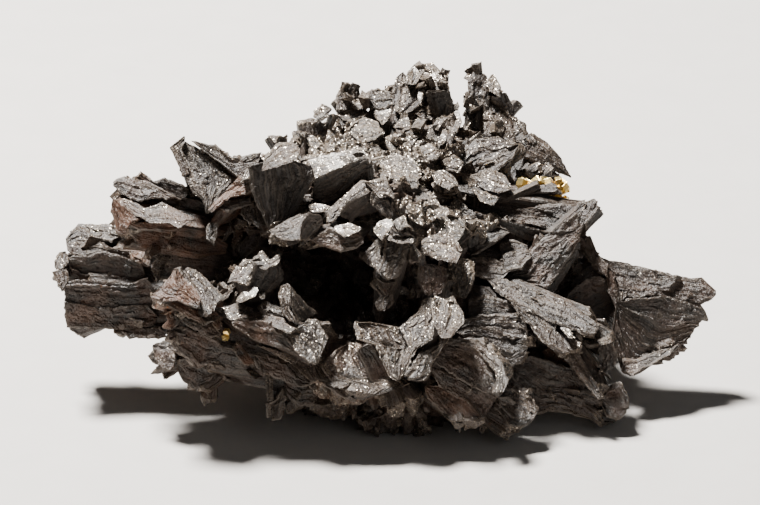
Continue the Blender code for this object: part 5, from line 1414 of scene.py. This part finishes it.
def floor_material(finish):
    """Seamless card: smooth, matt and pale, so that it only carries the shadow."""
    material, tree, shader = new_material("matt_card")
    place = add_node(tree, "ShaderNodeTexCoord", {}, {}).outputs["Object"]
    fibre = spread(tree, mottle(tree, place, 6.0, 2.0), 0.3, 0.7, 0.96, 1.0)
    colour = mixed(tree, fibre, (0, 0, 0, 1), (*finish.floor, 1))
    tree.links.new(colour, shader.inputs["Base Color"])
    shader.inputs["Roughness"].default_value = 0.9
    return material


def kept_material(name, make, finish):
    """The material of that name, made the first time it is asked for."""
    return bpy.data.materials.get(name) or make(finish)


class SPECIMEN_OT_crystals(bpy.types.Operator):
    """Grow one region's crystals together into one piece"""

    bl_idname = "specimen.crystals"
    bl_label = "Crystals"

    region: EnumProperty(
        name="Region",
        description="Which part of the specimen to grow",
        items=[(name, name.replace("_", " ").title(), "") for name in REGIONS],
    )

    def execute(self, context):
        shape, finish = context.scene.specimen_shape, context.scene.specimen_finish
        if self.region == "crust":
            crystals = [blade for crust in CRUSTS for blade in crust_blades(crust)]
        else:
            crystals = CRYSTALS[self.region]
        region_habit = REGION_HABITS.get(self.region, PLAIN_HABIT)
        pitch = shape.pitch * COARSENESS.get(self.region, PLAIN_COARSENESS)
        parts = []
        for crystal in crystals:
            habit = HABITS.get(crystal.name, region_habit)
            for member in bundle(crystal, shape, habit):
                parts.append(crystal_object(member, shape, habit, pitch))
        parts += [slab_object(slab, shape) for slab in SLABS.get(self.region, ())]
        piece = grown_together(f"{self.region}_crystals", parts)
        material = kept_material("enargite_striated", enargite_material, finish)
        finish_piece(piece, "enargite", material, "enargite_cluster")
        return {"FINISHED"}


def ore_object(lump, shape):
    """One lump of massive ore: a faceted ball, cut fine and broken into uneven plates."""
    rng = random.Random(lump.name)
    bpy.ops.object.select_all(action="DESELECT")
    bpy.ops.mesh.primitive_ico_sphere_add(subdivisions=1, radius=1.0)
    ball = bpy.context.object
    points = read_points(ball.data)
    points *= np.array([rng.uniform(*LUMP_UNEVENNESS) for _ in points])[:, None]
    write_points(ball.data, points)
    bpy.ops.object.mode_set(mode="EDIT")
    bpy.ops.mesh.select_all(action="SELECT")
    bpy.ops.mesh.subdivide(number_cuts=int(max(lump.radii) / ORE_PITCH))
    bpy.ops.object.mode_set(mode="OBJECT")

    draws = np.random.default_rng(rng.getrandbits(32))
    points = read_points(ball.data)
    outward = points / np.linalg.norm(points, axis=1)[:, None]
    spot = np.array(lump.centre) + points * np.array(lump.radii)
    cut = spot + noise_at(spot, ORE_WANDER[0]) * ORE_WANDER[1]
    broken = 0.7 * facets(draws, cut, ORE_PLATES, 1.4) + 0.3 * facets(draws, cut, ORE_CHIPS, 1.4)
    spot += outward * (shape.ore_relief * (broken - 0.4))[:, None]
    spot += noise_at(spot, 1.2) * shape.crumble
    write_points(ball.data, leaned(spot))
    write_attribute(ball.data, "grain", spot[:, [0, 2, 1]] + 50.0)
    write_finish(ball.data, *ORE_FINISH)
    ball.users_collection[0].objects.unlink(ball)
    return ball


class SPECIMEN_OT_ore(bpy.types.Operator):
    """Make the massive ore that the crystals radiate from"""

    bl_idname = "specimen.ore"
    bl_label = "Massive ore"

    def execute(self, context):
        shape, finish = context.scene.specimen_shape, context.scene.specimen_finish
        piece = grown_together("massive_ore", [ore_object(lump, shape) for lump in LUMPS])
        material = kept_material("enargite_striated", enargite_material, finish)
        finish_piece(piece, "enargite", material, "enargite_cluster")
        return {"FINISHED"}


def surface_of(names):
    """The centres, normals and areas of the pieces' faces."""
    found = []
    for name in names:
        polygons = bpy.data.objects[name].data.polygons
        centres, normals, areas = (np.empty(len(polygons) * n) for n in (3, 3, 1))
        polygons.foreach_get("center", centres)
        polygons.foreach_get("normal", normals)
        polygons.foreach_get("area", areas)
        found.append((centres.reshape(-1, 3), normals.reshape(-1, 3), areas))
    return [np.concatenate(kind) for kind in zip(*found)]


class SPECIMEN_OT_chips(bpy.types.Operator):
    """Scatter small broken crystals over the crusts and the ore"""

    bl_idname = "specimen.chips"
    bl_label = "Small crystals"

    def execute(self, context):
        shape, finish = context.scene.specimen_shape, context.scene.specimen_finish
        draws = np.random.default_rng(CHIP_SEED)
        centres, normals, areas = surface_of(("crust_crystals", "massive_ore", "peak_crystals"))
        weight = areas * np.clip(normals[:, 2] + CHIP_OVERHANG, 0, 1)
        chosen = draws.choice(len(weight), size=shape.chips, p=weight / weight.sum())
        block = cut_block((2, 2, 1))
        start = read_points(block)
        quads = np.array([face.vertices[:] for face in block.polygons])
        points, faces, grains = [], [], []
        for number, spot in enumerate(chosen):
            heading = Vector(normals[spot] + draws.uniform(-CHIP_SPLAY, CHIP_SPLAY, 3)).normalized()
            turn = heading.to_track_quat("Y", "Z").to_matrix()
            turn = turn @ Matrix.Rotation(draws.uniform(0, math.tau), 3, "Y")
            length = draws.uniform(*CHIP_LENGTHS)
            width, depth = length * draws.uniform(*CHIP_WIDTHS), length * draws.uniform(*CHIP_DEPTHS)
            size = np.array((width, length, depth))
            grown = start * size * np.interp(start[:, 1:2], (-0.5, 0.5), CHIP_TAPER)
            grown += draws.uniform(-CHIP_UNEVENNESS, CHIP_UNEVENNESS, start.shape) * length
            points.append(centres[spot] + grown @ np.array(turn).T * MM)
            faces.append(quads + number * len(start))
            grains.append(grown + draws.uniform(0, 400, 3))
        mesh = bpy.data.meshes.new("small_crystals")
        mesh.from_pydata(np.concatenate(points).tolist(), [], np.concatenate(faces).tolist())
        write_attribute(mesh, "grain", np.concatenate(grains))
        write_finish(mesh, *CHIP_FINISH)
        piece = bpy.data.objects.new("small_crystals", mesh)
        context.scene.collection.objects.link(piece)
        material = kept_material("enargite_striated", enargite_material, finish)
        finish_piece(piece, "enargite", material, "enargite_cluster")
        return {"FINISHED"}


def pyrite_cube(place, size, turn):
    """One cube with its edges just broken."""
    bpy.ops.object.select_all(action="DESELECT")
    bpy.ops.mesh.primitive_cube_add(size=1.0)
    cube = bpy.context.object
    bpy.ops.object.mode_set(mode="EDIT")
    bpy.ops.mesh.select_all(action="SELECT")
    bpy.ops.mesh.bevel(offset=0.05, segments=2)
    bpy.ops.object.mode_set(mode="OBJECT")
    cube.data.transform(Matrix.Translation(place) @ turn.to_4x4() @ Matrix.Scale(size * MM, 4))
    cube.users_collection[0].objects.unlink(cube)
    return cube


class SPECIMEN_OT_pyrite(bpy.types.Operator):
    """Make the grains of intergrown pyrite cubes"""

    bl_idname = "specimen.pyrite"
    bl_label = "Pyrite"

    def execute(self, context):
        finish = context.scene.specimen_finish
        for grain in GRAINS:
            rng = random.Random(grain.name)
            cubes = []
            for number in range(grain.count):
                share = (number + 0.5) / grain.count - 0.5
                stray = [rng.uniform(-0.5, 0.5) * spread for spread in grain.spread[1:]]
                spot = Vector(grain.centre) + Vector((2 * share * grain.spread[0], *stray))
                size = grain.size * rng.uniform(*CUBE_UNEVENNESS)
                turn = Euler([rng.uniform(0, math.pi / 2) for _ in range(3)]).to_matrix()
                cubes.append(pyrite_cube(Vector(leaned(spot)), size, turn))
            piece = grown_together(f"{grain.name}_cubes", cubes)
            material = kept_material("pyrite_brassy", pyrite_material, finish)
            finish_piece(piece, "pyrite", material, grain.name)
        return {"FINISHED"}


def area_light(name, place, size, power, colour):
    """A round soft light, aimed at the middle of the specimen's foot."""
    light = bpy.data.lights.new(name, "AREA")
    light.shape = "DISK"
    light.size = size
    light.energy = power
    light.color = colour
    lamp = bpy.data.objects.new(name, light)
    lamp.location = place
    lamp.rotation_euler = (Vector(LIGHTS_AIM) - Vector(place)).to_track_quat("-Z", "Y").to_euler()
    bpy.context.scene.collection.objects.link(lamp)


class SPECIMEN_OT_stage(bpy.types.Operator):
    """Set the floor, the soft lights and the camera"""

    bl_idname = "specimen.stage"
    bl_label = "Stage"

    def execute(self, context):
        finish = context.scene.specimen_finish
        bpy.ops.object.select_all(action="DESELECT")
        bpy.ops.mesh.primitive_plane_add(size=4.0)
        floor = context.object
        floor.name = "floor"
        floor.data.materials.append(kept_material("matt_card", floor_material, finish))

        area_light("key_light", (-0.14, 0.13, 0.42), size=0.1, power=12.0, colour=(1.0, 0.98, 0.95))
        area_light("fill_light", (0.35, -0.5, 0.35), size=0.5, power=0.28, colour=(0.95, 0.97, 1.0))
        world = bpy.data.worlds.new("studio")
        world.use_nodes = True
        world.node_tree.nodes["Background"].inputs[0].default_value = (1, 1, 1, 1)
        world.node_tree.nodes["Background"].inputs[1].default_value = 0.05
        context.scene.world = world

        camera = bpy.data.cameras.new("camera")
        camera.sensor_width = 36.0
        camera.lens = camera.sensor_width * CAMERA_DISTANCE / FRAME_WIDTH
        camera.clip_start = 0.01
        seen = bpy.data.objects.new("camera", camera)
        seen.location = Vector(leaned(CAMERA_TARGET)) - VIEW * CAMERA_DISTANCE
        seen.rotation_euler = VIEW.to_track_quat("-Z", "Y").to_euler()
        context.scene.collection.objects.link(seen)
        context.scene.camera = seen
        return {"FINISHED"}


class SPECIMEN_PT_panel(bpy.types.Panel):
    """The specimen's sizes, colours and steps"""

    bl_idname = "SPECIMEN_PT_panel"
    bl_label = "Enargite Specimen"
    bl_space_type = "VIEW_3D"
    bl_region_type = "UI"
    bl_category = "Specimen"

    def draw(self, context):
        for settings in (context.scene.specimen_shape, context.scene.specimen_finish):
            box = self.layout.box()
            for name in settings.__annotations__:
                box.prop(settings, name)
        for region in REGIONS:
            self.layout.operator("specimen.crystals", text=region.replace("_", " ")).region = region
        for operator in (SPECIMEN_OT_ore, SPECIMEN_OT_chips, SPECIMEN_OT_pyrite, SPECIMEN_OT_stage):
            self.layout.operator(operator.bl_idname)


CLASSES = (
    SpecimenShape,
    SpecimenFinish,
    SPECIMEN_OT_crystals,
    SPECIMEN_OT_ore,
    SPECIMEN_OT_chips,
    SPECIMEN_OT_pyrite,
    SPECIMEN_OT_stage,
    SPECIMEN_PT_panel,
)


def register():
    for cls in CLASSES:
        bpy.utils.register_class(cls)
    bpy.types.Scene.specimen_shape = PointerProperty(type=SpecimenShape)
    bpy.types.Scene.specimen_finish = PointerProperty(type=SpecimenFinish)


def unregister():
    del bpy.types.Scene.specimen_finish
    del bpy.types.Scene.specimen_shape
    for cls in reversed(CLASSES):
        bpy.utils.unregister_class(cls)


def main():
    noise.seed_set(NOISE_SEED)
    register()
    for region in REGIONS:
        bpy.ops.specimen.crystals(region=region)
    bpy.ops.specimen.ore()
    bpy.ops.specimen.chips()
    bpy.ops.specimen.pyrite()
    bpy.ops.specimen.stage()


if __name__ == "__main__":
    main()
